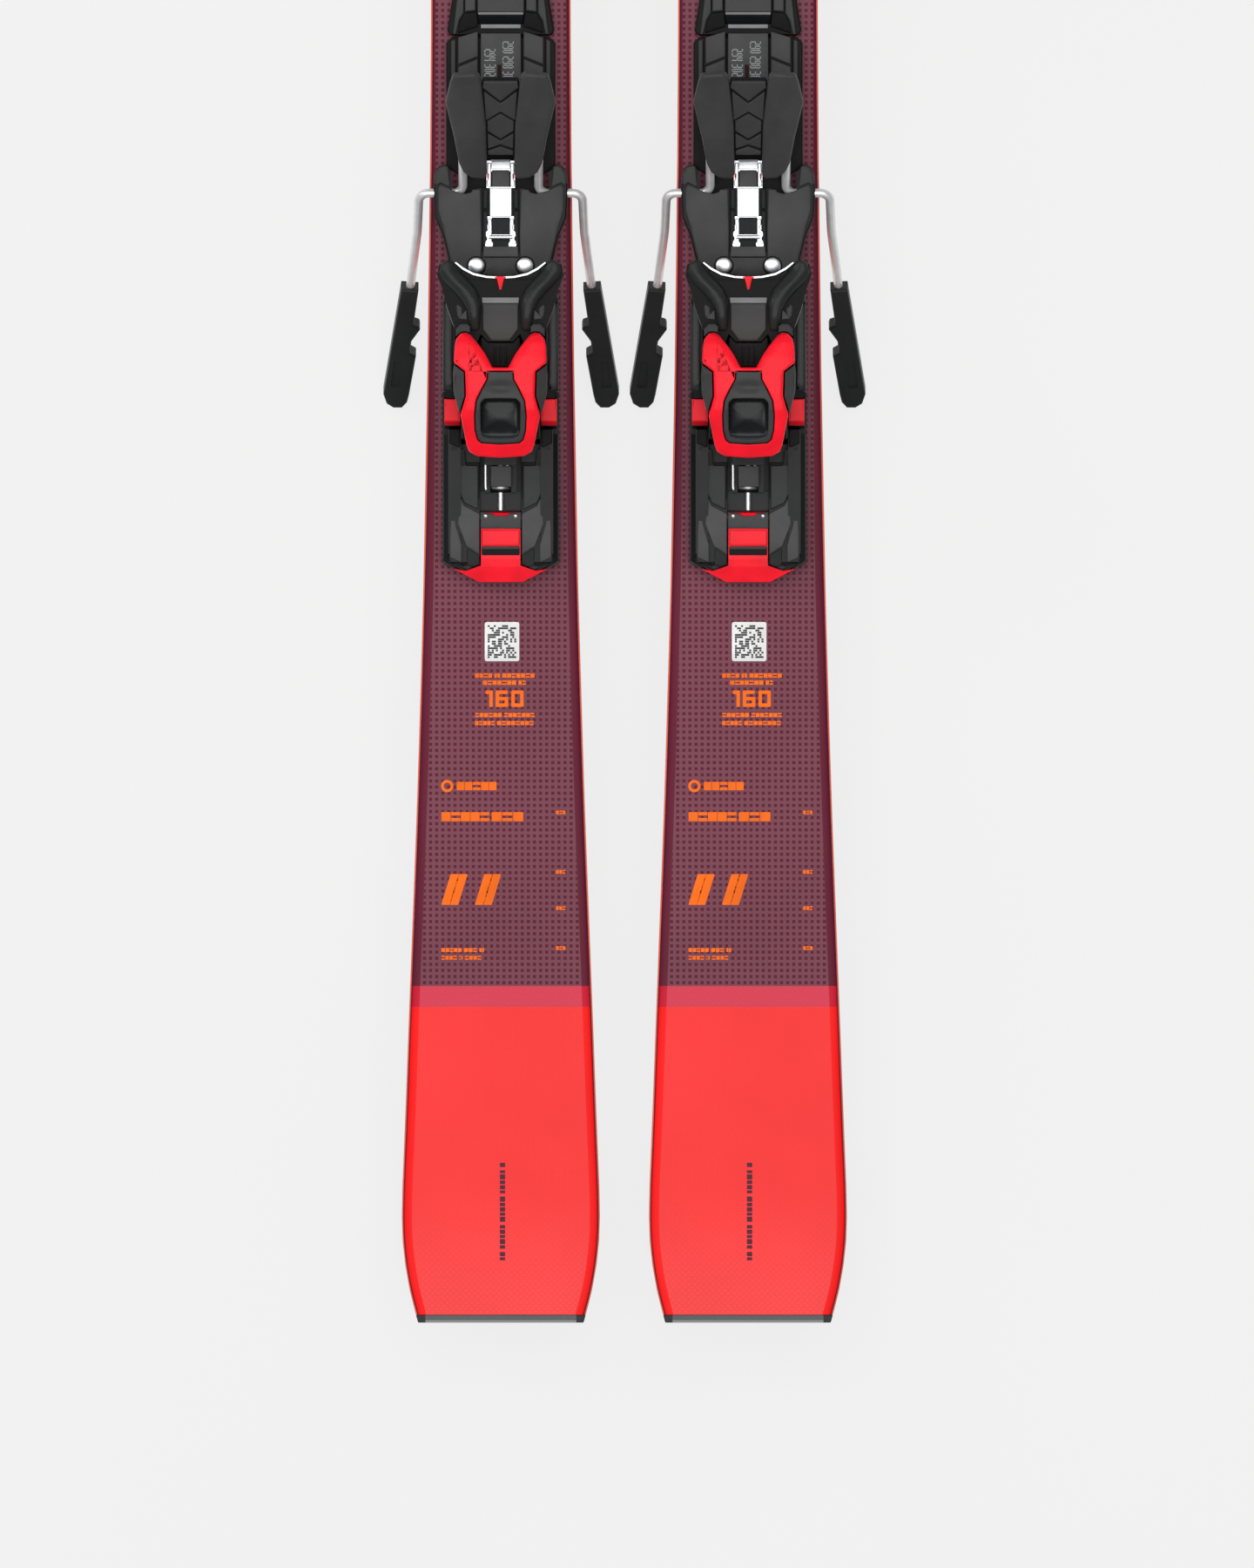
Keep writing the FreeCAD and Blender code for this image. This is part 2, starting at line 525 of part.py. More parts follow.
    coil = doc.addObject("Part::Helix", pre + "toe_coil")
    coil.Pitch, coil.Height, coil.Radius = 5.6, 44.8, 6.4
    ring = doc.addObject("Part::Circle", pre + "toe_coil_wire")
    ring.Radius = 1.3
    ring.Placement = FreeCAD.Placement(V(6.4, 0, 0), FreeCAD.Rotation(V(1, 0, 0), 90))
    sw = doc.addObject("Part::Sweep", pre + "toe_spring")
    sw.Sections, sw.Spine, sw.Solid, sw.Frenet = [ring], (coil, ["Edge1"]), True, True
    sw.Placement = FreeCAD.Placement(V(x0, 36.4, dim("ride_height") + dim("ski_thick") + dim("toe_spring_z")), FreeCAD.Rotation(V(1, 0, 0), -90))
    emit(pre + "toe_spring", sw)

    b = new_body(pre + "toe_release_screw", top_at)
    pad(b, rings(b, "XZ_Plane", [(0, q("toe_spring_z"), 6.5)], -93.0), 8.6)
    pad(b, rings(b, "XZ_Plane", [(0, q("toe_spring_z"), 3.4)], -85.0), 36.0)
    pocket(b, poly(b, "XZ_Plane", box(-1.1, dim("toe_spring_z") - 5.2, 1.1, dim("toe_spring_z") + 5.2), -94.0), 3.2, rev=True)
    emit(pre + "toe_release_screw", b)

    # anti-friction plate: slides across the ski on a rib in the toe plate's groove
    b = new_body(pre + "afd_plate", top_at)
    pad(b, poly(b, "XY_Plane", mirror([(0, -47.0), (18.0, -47.0), (24.0, -42.0), (24.0, -19.0), (19.0, -14.0), (0, -14.0)]), q("afd_low")), q("afd_high", 1, -dim("afd_low")))
    fillet(b, upright, 2.0)
    fillet(b, at_z(dim("afd_high")), 0.8)
    pad(b, poly(b, "YZ_Plane", box(-34.0, 2.8, -26.0, 6.0)), 40.0, both=True)
    emit(pre + "afd_plate", b)

    # heel carriage: wraps the rail, carries the axle ears, the spring tunnel and the lock lever
    b = new_body(pre + "heel_carriage", top_at)
    c = q("car_half")
    pad(b, poly(b, "XY_Plane", mirror([(0, -284.4), (27.6, -284.4), (q("wall_out"), -287.0), (c, -300.0), (c, -428.9), (23.7, -430.7), (17.5, -431.7), (11.0, -429.2), (0, -429.2)]), q("car_low")), q("car_deck", 1, -dim("car_low")))
    fillet(b, lambda e: upright(e) and abs(e.BoundBox.XMin) > 20, 1.5)
    # side walls and axle ears
    pad(b, poly(b, "YZ_Plane", [(-287.5, 10.0), (-289.0, 24.0), (-299.0, q("wall_top")), (-341.0, q("wall_top")), (-345.5, 28.5), (-345.5, 10.0)], q("wall_in")), q("wall_out", 1, -dim("wall_in")))
    pad(b, poly(b, "YZ_Plane", [(-287.5, 10.0), (-289.0, 24.0), (-299.0, q("wall_top")), (-341.0, q("wall_top")), (-345.5, 28.5), (-345.5, 10.0)], q("wall_out", -1)), q("wall_out", 1, -dim("wall_in")))
    ear = [(-344.5, 10.0), (-346.5, 32.0), (-357.5, 32.0), (-360.0, 22.0), (-361.0, 10.0)]
    pad(b, poly(b, "YZ_Plane", ear, q("ear_in")), q("ear_out", 1, -dim("ear_in")))
    pad(b, poly(b, "YZ_Plane", ear, q("ear_out", -1)), q("ear_out", 1, -dim("ear_in")))
    # rear deck: low humps, outer ridges, spring tunnel
    for s in (1, -1):
        a = 10.6 if s > 0 else -26.5
        pad(b, poly(b, "YZ_Plane", [(-366.0, 10.0), (-369.0, 15.6), (-400.0, 15.6), (-412.0, 15.0), (-428.0, 12.5), (-428.9, 10.0)], a), 15.9)
        a = 20.0 if s > 0 else -26.4
        pad(b, poly(b, "YZ_Plane", [(-360.5, 10.0), (-361.5, 21.0), (-378.0, 21.0), (-400.0, 18.2), (-424.0, 14.0), (-426.0, 10.0)], a), 6.4)
    pad(b, poly(b, "YZ_Plane", [(-367.0, 10.0), (-367.0, 20.4), (-368.0, 21.2), (-379.4, 21.2), (-379.4, 15.6), (-393.0, 15.6), (-393.0, 10.0)]), 16.0, both=True)
    pad(b, poly(b, "YZ_Plane", [(-392.5, 10.0), (-392.5, 12.5), (-402.2, 12.5), (-402.2, 10.0)]), 21.6, both=True)
    # T-slot for the rail, then the lock lever's channel, bores
    pocket(b, poly(b, "XZ_Plane", [(q("slot_foot_half", -1), -1.0), (q("slot_foot_half"), -1.0), (q("slot_foot_half"), q("slot_lip")), (q("slot_half"), q("slot_lip")), (q("slot_half"), q("slot_top")), (q("slot_half", -1), q("slot_top")), (q("slot_half", -1), q("slot_lip")), (q("slot_foot_half", -1), q("slot_lip"))], 250.0), 220.0, rev=True)
    pocket(b, poly(b, "XY_Plane", mirror([(0, -402.2), (10.4, -402.2), (10.4, -440.0), (0, -440.0)]), -5.0), 60.0, rev=True)
    pad(b, poly(b, "XY_Plane", mirror([(0, -401.0), (11.0, -401.0), (11.0, -424.5), (0, -424.5)]), q("slot_top")), 1.0)
    pocket(b, rings(b, "YZ_Plane", [(q("axle_y"), q("axle_z"), q("axle_r"))]), 70.0, both=True)
    pocket(b, rings(b, "XZ_Plane", [(0, q("heel_spring_z"), q("heel_bore_r"))], 366.0), 16.0, rev=True)
    pocket(b, rings(b, "XZ_Plane", [(0, q("heel_spring_z"), q("heel_head_bore"))], 380.6), 12.6, rev=True)
    pocket(b, rings(b, "YZ_Plane", [(q("lock_y"), q("lock_z"), q("lock_pin_r", 1, 0.08))]), 27.0, both=True)
    emit(pre + "heel_carriage", b)

    ax = doc.addObject("Part::Cylinder", pre + "heel_axle")
    ax.setExpression("Radius", "Dims.axle_r")
    ax.setExpression("Height", "Dims.ear_out * 2")
    ax.Placement = FreeCAD.Placement(V(x0 - dim("ear_out"), dim("axle_y"), dim("ride_height") + dim("ski_thick") + dim("axle_z")), FreeCAD.Rotation(V(0, 1, 0), 90))
    emit(pre + "heel_axle", ax)

    # steel strap in the brake plate's channel, with its rivets and the forward-pressure pin
    strap = doc.addObject("Part::Feature", pre + "length_strap")
    z = dim("brake_high") - 4.2
    bars = [Part.makeBox(2.0, 13.6, 2.2, V(s * 6.1 - 1.0, -240.2, z)) for s in (1, -1)]
    ladder = bars[0].fuse(bars[1])
    ladder = ladder.fuse(Part.makeBox(10.6, 5.2, 1.8, V(-5.3, -231.9, z)))
    ladder = ladder.fuse(Part.makeBox(10.7, 15.2, 1.4, V(-5.35, -255.0, z)))
    for s in (1, -1):
        ladder = ladder.fuse(Part.makeBox(2.0, 15.0, 1.4, V(s * 5.6 - 1.0, -269.5, z)))
        ladder = ladder.fuse(Part.makeCylinder(1.9, 2.4, V(s * 5.9, -268.6, z)))
    ladder = ladder.fuse(Part.makeBox(12.0, 1.9, 2.0, V(-6.0, -265.6, z)))
    ladder = ladder.removeSplitter()
    rivets = []
    for s in (1, -1):
        dome = Part.makeSphere(7.0, V(s * 12.2, -279.2, dim("brake_high") - 4.9)).common(Part.makeCylinder(4.1, 4.0, V(s * 12.2, -279.2, dim("brake_high"))))
        rivets.append(dome)
    pin = Part.makeCylinder(1.5, 8.8, V(0, -402.0, 14.0), V(0, 1, 0))
    strap.Shape = Part.makeCompound([ladder] + rivets + [pin])
    strap.Placement = top_at
    emit(pre + "length_strap", strap)

    coil = doc.addObject("Part::Helix", pre + "heel_coil")
    coil.Pitch, coil.Height, coil.Radius = 2.6, 13.0, 3.4
    ring = doc.addObject("Part::Circle", pre + "heel_coil_wire")
    ring.Radius = 0.8
    ring.Placement = FreeCAD.Placement(V(3.4, 0, 0), FreeCAD.Rotation(V(1, 0, 0), 90))
    sw = doc.addObject("Part::Sweep", pre + "heel_spring")
    sw.Sections, sw.Spine, sw.Solid, sw.Frenet = [ring], (coil, ["Edge1"]), True, True
    sw.Placement = FreeCAD.Placement(V(x0, -380.8 + 0.9, dim("ride_height") + dim("ski_thick") + dim("heel_spring_z")), FreeCAD.Rotation(V(1, 0, 0), -90))
    emit(pre + "heel_spring", sw)

    b = new_body(pre + "heel_release_screw", top_at)
    pad(b, rings(b, "XZ_Plane", [(0, q("heel_spring_z"), q("heel_head_r"))], 381.0), 10.6)
    pad(b, rings(b, "XZ_Plane", [(0, q("heel_spring_z"), 2.2)], 367.5), 14.0)
    pocket(b, poly(b, "XZ_Plane", box(-0.9, dim("heel_spring_z") - 4.2, 0.9, dim("heel_spring_z") + 4.2), 392.0), 4.0)
    emit(pre + "heel_release_screw", b)

    # heel housing with the cup that grips the boot's heel
    b = new_body(pre + "heel_housing", top_at)
    pad(b, poly(b, "YZ_Plane", [(-297.0, 17.0), (-293.5, 22.0), (-293.5, 46.0), (-312.0, 50.0), (-342.0, 50.0), (-366.0, 41.0), (-366.0, 33.0), (-364.6, 25.0), (-361.0, 16.4), (-352.0, 13.0), (-344.0, 15.0)]), q("house_half", 2.0), both=True)
    fillet(b, lambda e: e.BoundBox.ZMin > 40 and e.BoundBox.XLength < 0.1 and e.BoundBox.YLength > 10, 2.5)
    cup = mirror([(0, -286.0), (7.0, -285.6), (13.5, -284.2), (19.0, -281.6), (23.4, -278.2), (27.6, -277.0), (30.8, -279.6), (31.6, -285.0), (29.2, -291.0), (26.6, -301.0), (22.6, -312.0), (17.0, -321.0), (0, -321.0)])
    pad(b, poly(b, "XY_Plane", cup, q("cup_low")), q("cup_high", 1, -dim("cup_low")))
    pad(b, poly(b, "XY_Plane", mirror([(0, -287.6), (9.0, -286.8), (16.0, -284.6), (20.8, -282.4), (21.8, -286.0), (21.8, -294.5), (0, -294.5)]), 22.0), q("cup_low", 1, -21.0))
    # hollow between the horns of the lever
    pocket(b, poly(b, "XY_Plane", mirror([(0, -317.8), (6.4, -317.8), (9.9, -314.0), (13.0, -322.0), (9.5, -331.0), (0, -331.0)]), 34.0), 60.0, rev=True)
    fillet(b, lambda e: upright(e) and e.BoundBox.YMin > -300 and e.BoundBox.ZMin > 30 and abs(e.CenterOfMass.x) > 20, 1.2)
    pocket(b, rings(b, "YZ_Plane", [(q("axle_y"), q("axle_z"), q("axle_bore_r"))]), 70.0, both=True)
    pocket(b, rings(b, "YZ_Plane", [(q("lever_y"), q("lever_z"), q("lever_pin_r", 1, 0.08))], 14.6), 20.0, rev=True)
    pocket(b, rings(b, "YZ_Plane", [(q("lever_y"), q("lever_z"), q("lever_pin_r", 1, 0.08))], -14.6), 20.0)
    emit(pre + "heel_housing", b)

    # step-out lever: a shell over the housing with two horns, on trunnions in the housing's sides
    b = new_body(pre + "heel_lever", top_at)
    w = q("lever_half")
    pad(b, poly(b, "YZ_Plane", [(-313.0, 53.6), (-313.0, 60.0), (-317.0, 66.0), (-333.0, 71.0), (-350.0, 69.0), (-366.0, 62.5), (-376.2, 55.5), (-376.2, 51.0), (-372.0, 50.4), (-340.0, 51.0), (-322.0, 53.5)]), q("lever_half", 2.0), both=True)
    pocket(b, poly(b, "XY_Plane", [flip([(24.0, -312.0), (24.0, -378.0), (8.0, -378.0), (8.0, -375.9), (14.2, -374.4), (16.7, -371.2), (19.6, -353.8), (23.2, -327.0), (22.8, -317.5), (20.8, -314.4), (16.2, -313.1), (16.2, -312.0)], s) for s in (1, -1)]), 160.0, both=True)
    pocket(b, poly(b, "XY_Plane", mirror([(0, -311.0), (15.6, -311.0), (15.6, -313.3), (12.3, -316.1), (4.35, -331.0), (0, -331.0)])), 160.0, both=True)
    # pocket for the pole tip in the pad on the lever's back
    pocket(b, poly(b, "XY_Plane", mirror([(0, -346.5), (9.0, -347.5), (9.2, -365.5), (7.5, -367.2), (0, -367.6)]), 56.0), 60.0, rev=True)
    for s in (1, -1):
        a = 19.9 if s > 0 else -22.6
        pad(b, poly(b, "YZ_Plane", [(-331.5, 55.0), (-331.5, 41.0), (-335.0, 38.0), (-341.0, 38.0), (-345.5, 42.0), (-348.0, 55.0)], a), 2.7)
        a = 15.0 if s > 0 else -20.4
        pad(b, rings(b, "YZ_Plane", [(q("lever_y"), q("lever_z"), q("lever_pin_r"))], a), 5.4)
    emit(pre + "heel_lever", b)

    # lock lever at the rear: lift it to slide the carriage along the rail
    b = new_body(pre + "size_lock_lever", top_at)
    h = q("lock_half")
    pad(b, poly(b, "YZ_Plane", [(-402.9, 12.0), (-403.4, 14.8), (-405.5, 15.9), (-408.0, 15.2), (-426.5, 14.2), (-430.5, 13.2), (-438.0, 10.4), (-438.0, 8.6), (-431.6, 8.6), (-425.4, 9.8), (-404.5, 10.2)]), 48.0, both=True)
    pocket(b, poly(b, "XY_Plane", [flip([(h, -400.0), (h, -429.8), (11.0, -430.2), (17.5, -432.5), (23.4, -431.5), (11.0, -438.0), (30.0, -438.0), (30.0, -400.0)], s) for s in (1, -1)]), 60.0, both=True)
    pad(b, rings(b, "YZ_Plane", [(q("lock_y"), q("lock_z"), q("lock_pin_r"))]), 25.6, both=True)
    fillet(b, lambda e: e.BoundBox.XLength > 15 and e.BoundBox.ZMin > 14 and e.BoundBox.YLength < 0.1, 0.6)
    emit(pre + "size_lock_lever", b)

    # brake plate, fixed to the front of the carriage
    b = new_body(pre + "brake_base", top_at)
    pad(b, poly(b, "XY_Plane", mirror([(0, -240.5), (12.2, -240.5), (12.2, -247.2), (24.5, -247.2), (24.5, -231.0), (27.3, -228.4), (31.3, -229.4), (33.4, -234.0), (33.8, -241.4), (33.1, -255.2), (29.2, -264.4), (26.4, -275.5), (25.8, -284.4), (0, -284.4)]), q("brake_low")), q("brake_high", 1, -dim("brake_low")))
    fillet(b, lambda e: upright(e) and abs(e.BoundBox.XMin) > 26, 1.5)
    fillet(b, lambda e: at_z(dim("brake_high"))(e) and abs(e.CenterOfMass.x) > 26 and e.BoundBox.YMin > -284, 1.2)
    pocket(b, poly(b, "XY_Plane", mirror([(0, -239.0), (9.6, -239.0), (9.6, -272.0), (7.6, -275.5), (0, -275.5)]), q("brake_high")), 4.2)
    for s in (1, -1):
        pocket(b, rings(b, "YZ_Plane", [(q("brake_y"), q("brake_z"), q("wire_bore_r"))], 20.0 * s), 20.0, rev=(s > 0))
        pocket(b, rings(b, "YZ_Plane", [(q("brake_y"), q("brake_z"), 3.3)], 32.2 * s), 6.0, rev=(s > 0))
    emit(pre + "brake_base", b)

    # the brake swings as one about the wires' cross axis; it is drawn flat and then dropped
    pivot = V(x0, dim("brake_y"), dim("ride_height") + dim("ski_thick") + dim("brake_z"))
    drop_at = FreeCAD.Placement(pivot, FreeCAD.Rotation(V(1, 0, 0), dim("brake_drop")))

    b = new_body(pre + "brake_pedal", drop_at)
    full = mirror([(0, 71.9), (8.6, 71.9), (10.2, 75.6), (12.4, 76.6), (23.5, 75.0), (25.2, 70.4), (27.8, 58.0), (23.6, 37.7), (20.7, 22.0), (17.0, 15.2), (13.4, 12.6), (9.0, 12.4), (6.9, 14.4), (6.7, 26.4), (0, 26.4)])
    pad(b, poly(b, "XY_Plane", full, q("pedal_low")), q("pedal_mid", 1, -dim("pedal_low")))
    lobe = [(10.0, 70.3), (10.2, 75.6), (12.4, 76.6), (23.5, 75.0), (25.2, 70.4), (27.8, 58.0), (23.6, 37.7), (20.7, 22.0), (17.0, 15.2), (13.4, 12.6), (9.0, 12.4), (6.9, 14.4), (7.0, 44.5)]
    for s in (1, -1):
        pad(b, poly(b, "XY_Plane", flip(lobe, s), q("pedal_mid", 1, -0.2)), q("pedal_high", 1, -dim("pedal_mid") + 0.2))
    fillet(b, lambda e: at_z(dim("pedal_high"))(e), 1.0)
    for s in (1, -1):
        pad(b, poly(b, "XY_Plane", flip([(22.6, 66.0), (24.6, 64.0), (25.4, 58.0), (23.4, 42.0), (21.8, 43.0), (22.8, 58.0)], s), -0.8), q("pedal_low", 1, 1.0))
        # hooks that hold the crank ends, one before and one behind
        pad(b, poly(b, "XY_Plane", flip(box(7.4, 49.0, 17.2, 51.4), s), -1.0), q("pedal_low", 1, 1.2))
        pad(b, poly(b, "XY_Plane", flip(box(4.6, 40.4, 11.6, 43.0), s), -1.0), q("pedal_low", 1, 1.2))
    emit(pre + "brake_pedal", b)

    for word, s in (("left", -1), ("right", 1)):
        b = new_body(pre + "brake_arm_" + word, drop_at)
        xa, xc = s * dim("arm_x"), s * dim("crank_x")
        pts = [V(s * 49.4, -92.0, 0), V(s * 41.9, -23.0, 0), V(xa, 0, 0), V(xc, 0, 0), V(xc, 46.0, 0), V(s * 10.6, 46.0, 0)]
        radii = [60.0, 5.0, 5.0, 4.0]
        spine = start_sketch(b, "XY_Plane", 0.0)
        last = pts[0]
        for i in range(1, len(pts) - 1):
            a, m, c = pts[i - 1], pts[i], pts[i + 1]
            u, w2 = (a - m).normalize(), (c - m).normalize()
            turn = math.pi - u.getAngle(w2)
            cut_back = radii[i - 1] * math.tan(turn / 2)
            t1, t2 = m + u * cut_back, m + w2 * cut_back
            mid_dir = (u + w2).normalize()
            centre = m + mid_dir * (radii[i - 1] / math.cos(turn / 2))
            mid = centre - mid_dir * radii[i - 1]
            spine.addGeometry(Part.LineSegment(last, t1), False)
            spine.addGeometry(Part.Arc(t1, mid, t2), False)
            last = t2
        spine.addGeometry(Part.LineSegment(last, pts[-1]), False)
        prof = b.newObject("Sketcher::SketchObject", b.Name + "_section")
        u = (pts[1] - pts[0]).normalize()
        prof.Placement = FreeCAD.Placement(pts[0], FreeCAD.Rotation(V(0, 0, 1), u))
        prof.addGeometry(Part.Circle(V(0, 0, 0), V(0, 0, 1), dim("wire_r")), False)
        prof.addConstraint(Sketcher.Constraint("Coincident", 0, 3, -1, 1))
        prof.addConstraint(Sketcher.Constraint("Radius", 0, dim("wire_r")))
        prof.renameConstraint(1, "wire")
        prof.setExpression("Constraints.wire", "Dims.wire_r")
        pipe = b.newObject("PartDesign::AdditivePipe", b.Name + "_pipe")
        pipe.Profile = prof
        pipe.Spine = spine
        doc.recompute()
        emit(pre + "brake_arm_" + word, b)

        # moulded tip, with the wire's bore taken out of it
        t = new_body(pre + "brake_tip_" + word + "_solid", drop_at)
        tip = [(41.4, -56.5), (44.0, -77.7), (41.2, -78.8), (40.7, -80.4), (45.1, -87.5), (45.9, -94.4), (42.8, -96.5), (46.4, -120.0), (47.4, -124.6), (50.0, -127.9), (54.4, -127.9), (57.8, -125.4), (59.4, -119.7), (50.2, -55.8)]
        tip = [(x, y) for x, y in tip]
        pad(t, poly(t, "XY_Plane", flip(tip, s), q("pad_half_thick", -1)), q("pad_half_thick", 2))
        fillet(t, lambda e: (at_z(dim("pad_half_thick"))(e) or at_z(-dim("pad_half_thick"))(e)), 1.2)
        pocket(t, poly(t, "XY_Plane", flip([(50.2, -99.5), (53.6, -99.0), (55.6, -115.0), (50.8, -115.6)], s), q("pad_half_thick", 1, -0.9)), 5.0, rev=True)
        wire = Part.makeCylinder(dim("wire_r"), 60.0, pts[0], (pts[1] - pts[0]).normalize())
        tool = doc.addObject("Part::Feature", pre + "wire_tool_" + word)
        tool.Shape = wire
        tool.Placement = drop_at
        tp = cut(pre + "brake_tip_" + word, t, tool)
        doc.recompute()
        emit(pre + "brake_tip_" + word, tp)

doc.recompute()
bad = [o.Name + " " + ",".join(o.State) for o in doc.Objects if "Invalid" in o.State or "Error" in o.State]
if bad:
    raise RuntimeError("failed objects: " + "; ".join(bad))
names = [n for n, _ in NODES]
if len(names) != len(set(names)) or len(names) > 60:
    raise RuntimeError("node names clash, or there are %d of them" % len(names))
low, high = V(1e9, 1e9, 1e9), V(-1e9, -1e9, -1e9)
for name, obj in NODES:
    s = obj.Shape
    if s.isNull() or not s.isValid() or not s.Solids or s.Volume <= 0:
        raise RuntimeError(name + " has no valid solid")
    bb = s.optimalBoundingBox(False)
    low = V(min(low.x, bb.XMin), min(low.y, bb.YMin), min(low.z, bb.ZMin))
    high = V(max(high.x, bb.XMax), max(high.y, bb.YMax), max(high.z, bb.ZMax))
for name, obj in NODES:
    obj.Shape.exportStep(os.path.join(OUT, name + ".step"))
print("nodes", len(NODES), "solids", sum(len(o.Shape.Solids) for _, o in NODES))
print("box %.3f %.3f %.3f  to  %.3f %.3f %.3f" % (low.x, low.y, low.z, high.x, high.y, high.z))
for name, obj in NODES:
    if name.startswith("left"):
        bb = obj.Shape.BoundBox
        print("%-34s %6.0f mm3  n %d  x %.1f..%.1f y %.1f..%.1f z %.1f..%.1f" % (name, obj.Shape.Volume, len(obj.Shape.Solids), bb.XMin, bb.XMax, bb.YMin, bb.YMax, bb.ZMin, bb.ZMax))
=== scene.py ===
import json
import math

import bmesh
import bpy
import numpy as np
from mathutils import Matrix, Vector


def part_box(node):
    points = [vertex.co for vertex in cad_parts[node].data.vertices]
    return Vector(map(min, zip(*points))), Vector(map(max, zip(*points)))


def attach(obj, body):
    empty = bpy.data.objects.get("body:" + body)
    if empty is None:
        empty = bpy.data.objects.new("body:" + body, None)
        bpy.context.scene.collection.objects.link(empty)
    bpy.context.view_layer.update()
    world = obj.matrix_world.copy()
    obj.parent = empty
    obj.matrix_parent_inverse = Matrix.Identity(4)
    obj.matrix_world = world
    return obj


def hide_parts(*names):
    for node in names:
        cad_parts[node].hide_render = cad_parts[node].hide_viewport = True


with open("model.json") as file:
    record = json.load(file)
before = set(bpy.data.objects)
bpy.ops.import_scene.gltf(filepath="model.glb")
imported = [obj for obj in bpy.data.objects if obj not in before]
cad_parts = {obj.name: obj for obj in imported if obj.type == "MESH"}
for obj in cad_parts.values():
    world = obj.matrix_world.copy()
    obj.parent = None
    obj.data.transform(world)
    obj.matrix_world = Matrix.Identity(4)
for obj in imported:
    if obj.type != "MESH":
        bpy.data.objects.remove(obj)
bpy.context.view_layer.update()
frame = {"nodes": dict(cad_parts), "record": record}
SIDES = (("left", -1), ("right", 1))

# ------------------------------------------------------------------ places, from the frame
# One ski's own frame, in millimetres: x from its centre line, y along the row's Y, z from the
# top sheet under the boot.  Both skis are the same, so every mesh is made once and placed twice.
CX, DECK = {}, {}
for side, _ in SIDES:
    lo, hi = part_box(side + "_ski_heel_track")
    CX[side] = (lo[0] + hi[0]) / 2
    DECK[side] = lo[2]
JOINTS = {j["name"]: j for j in frame["record"]["behaviour"]["joints"]}
ZT = DECK["left"]


def joint_yz(name):
    p = JOINTS[name]["pos_m"]
    return p[1] * 1000, (p[2] - ZT) * 1000


BRAKE_Y, BRAKE_Z = joint_yz("left_brake_swing")
DROP = math.radians(35.0)

deck_at = {s: Matrix.Translation((CX[s], 0, DECK[s])) @ Matrix.Scale(0.001, 4) for s, _ in SIDES}
brake_at = {s: deck_at[s] @ Matrix.Translation((0, BRAKE_Y, BRAKE_Z)) @ Matrix.Rotation(DROP, 4, "X") for s, _ in SIDES}


# ------------------------------------------------------------------ materials
def lin(r, g, b):
    out = []
    for c in (r, g, b):
        c /= 255.0
        out.append(c / 12.92 if c <= 0.04045 else ((c + 0.055) / 1.055) ** 2.4)
    return (*out, 1.0)


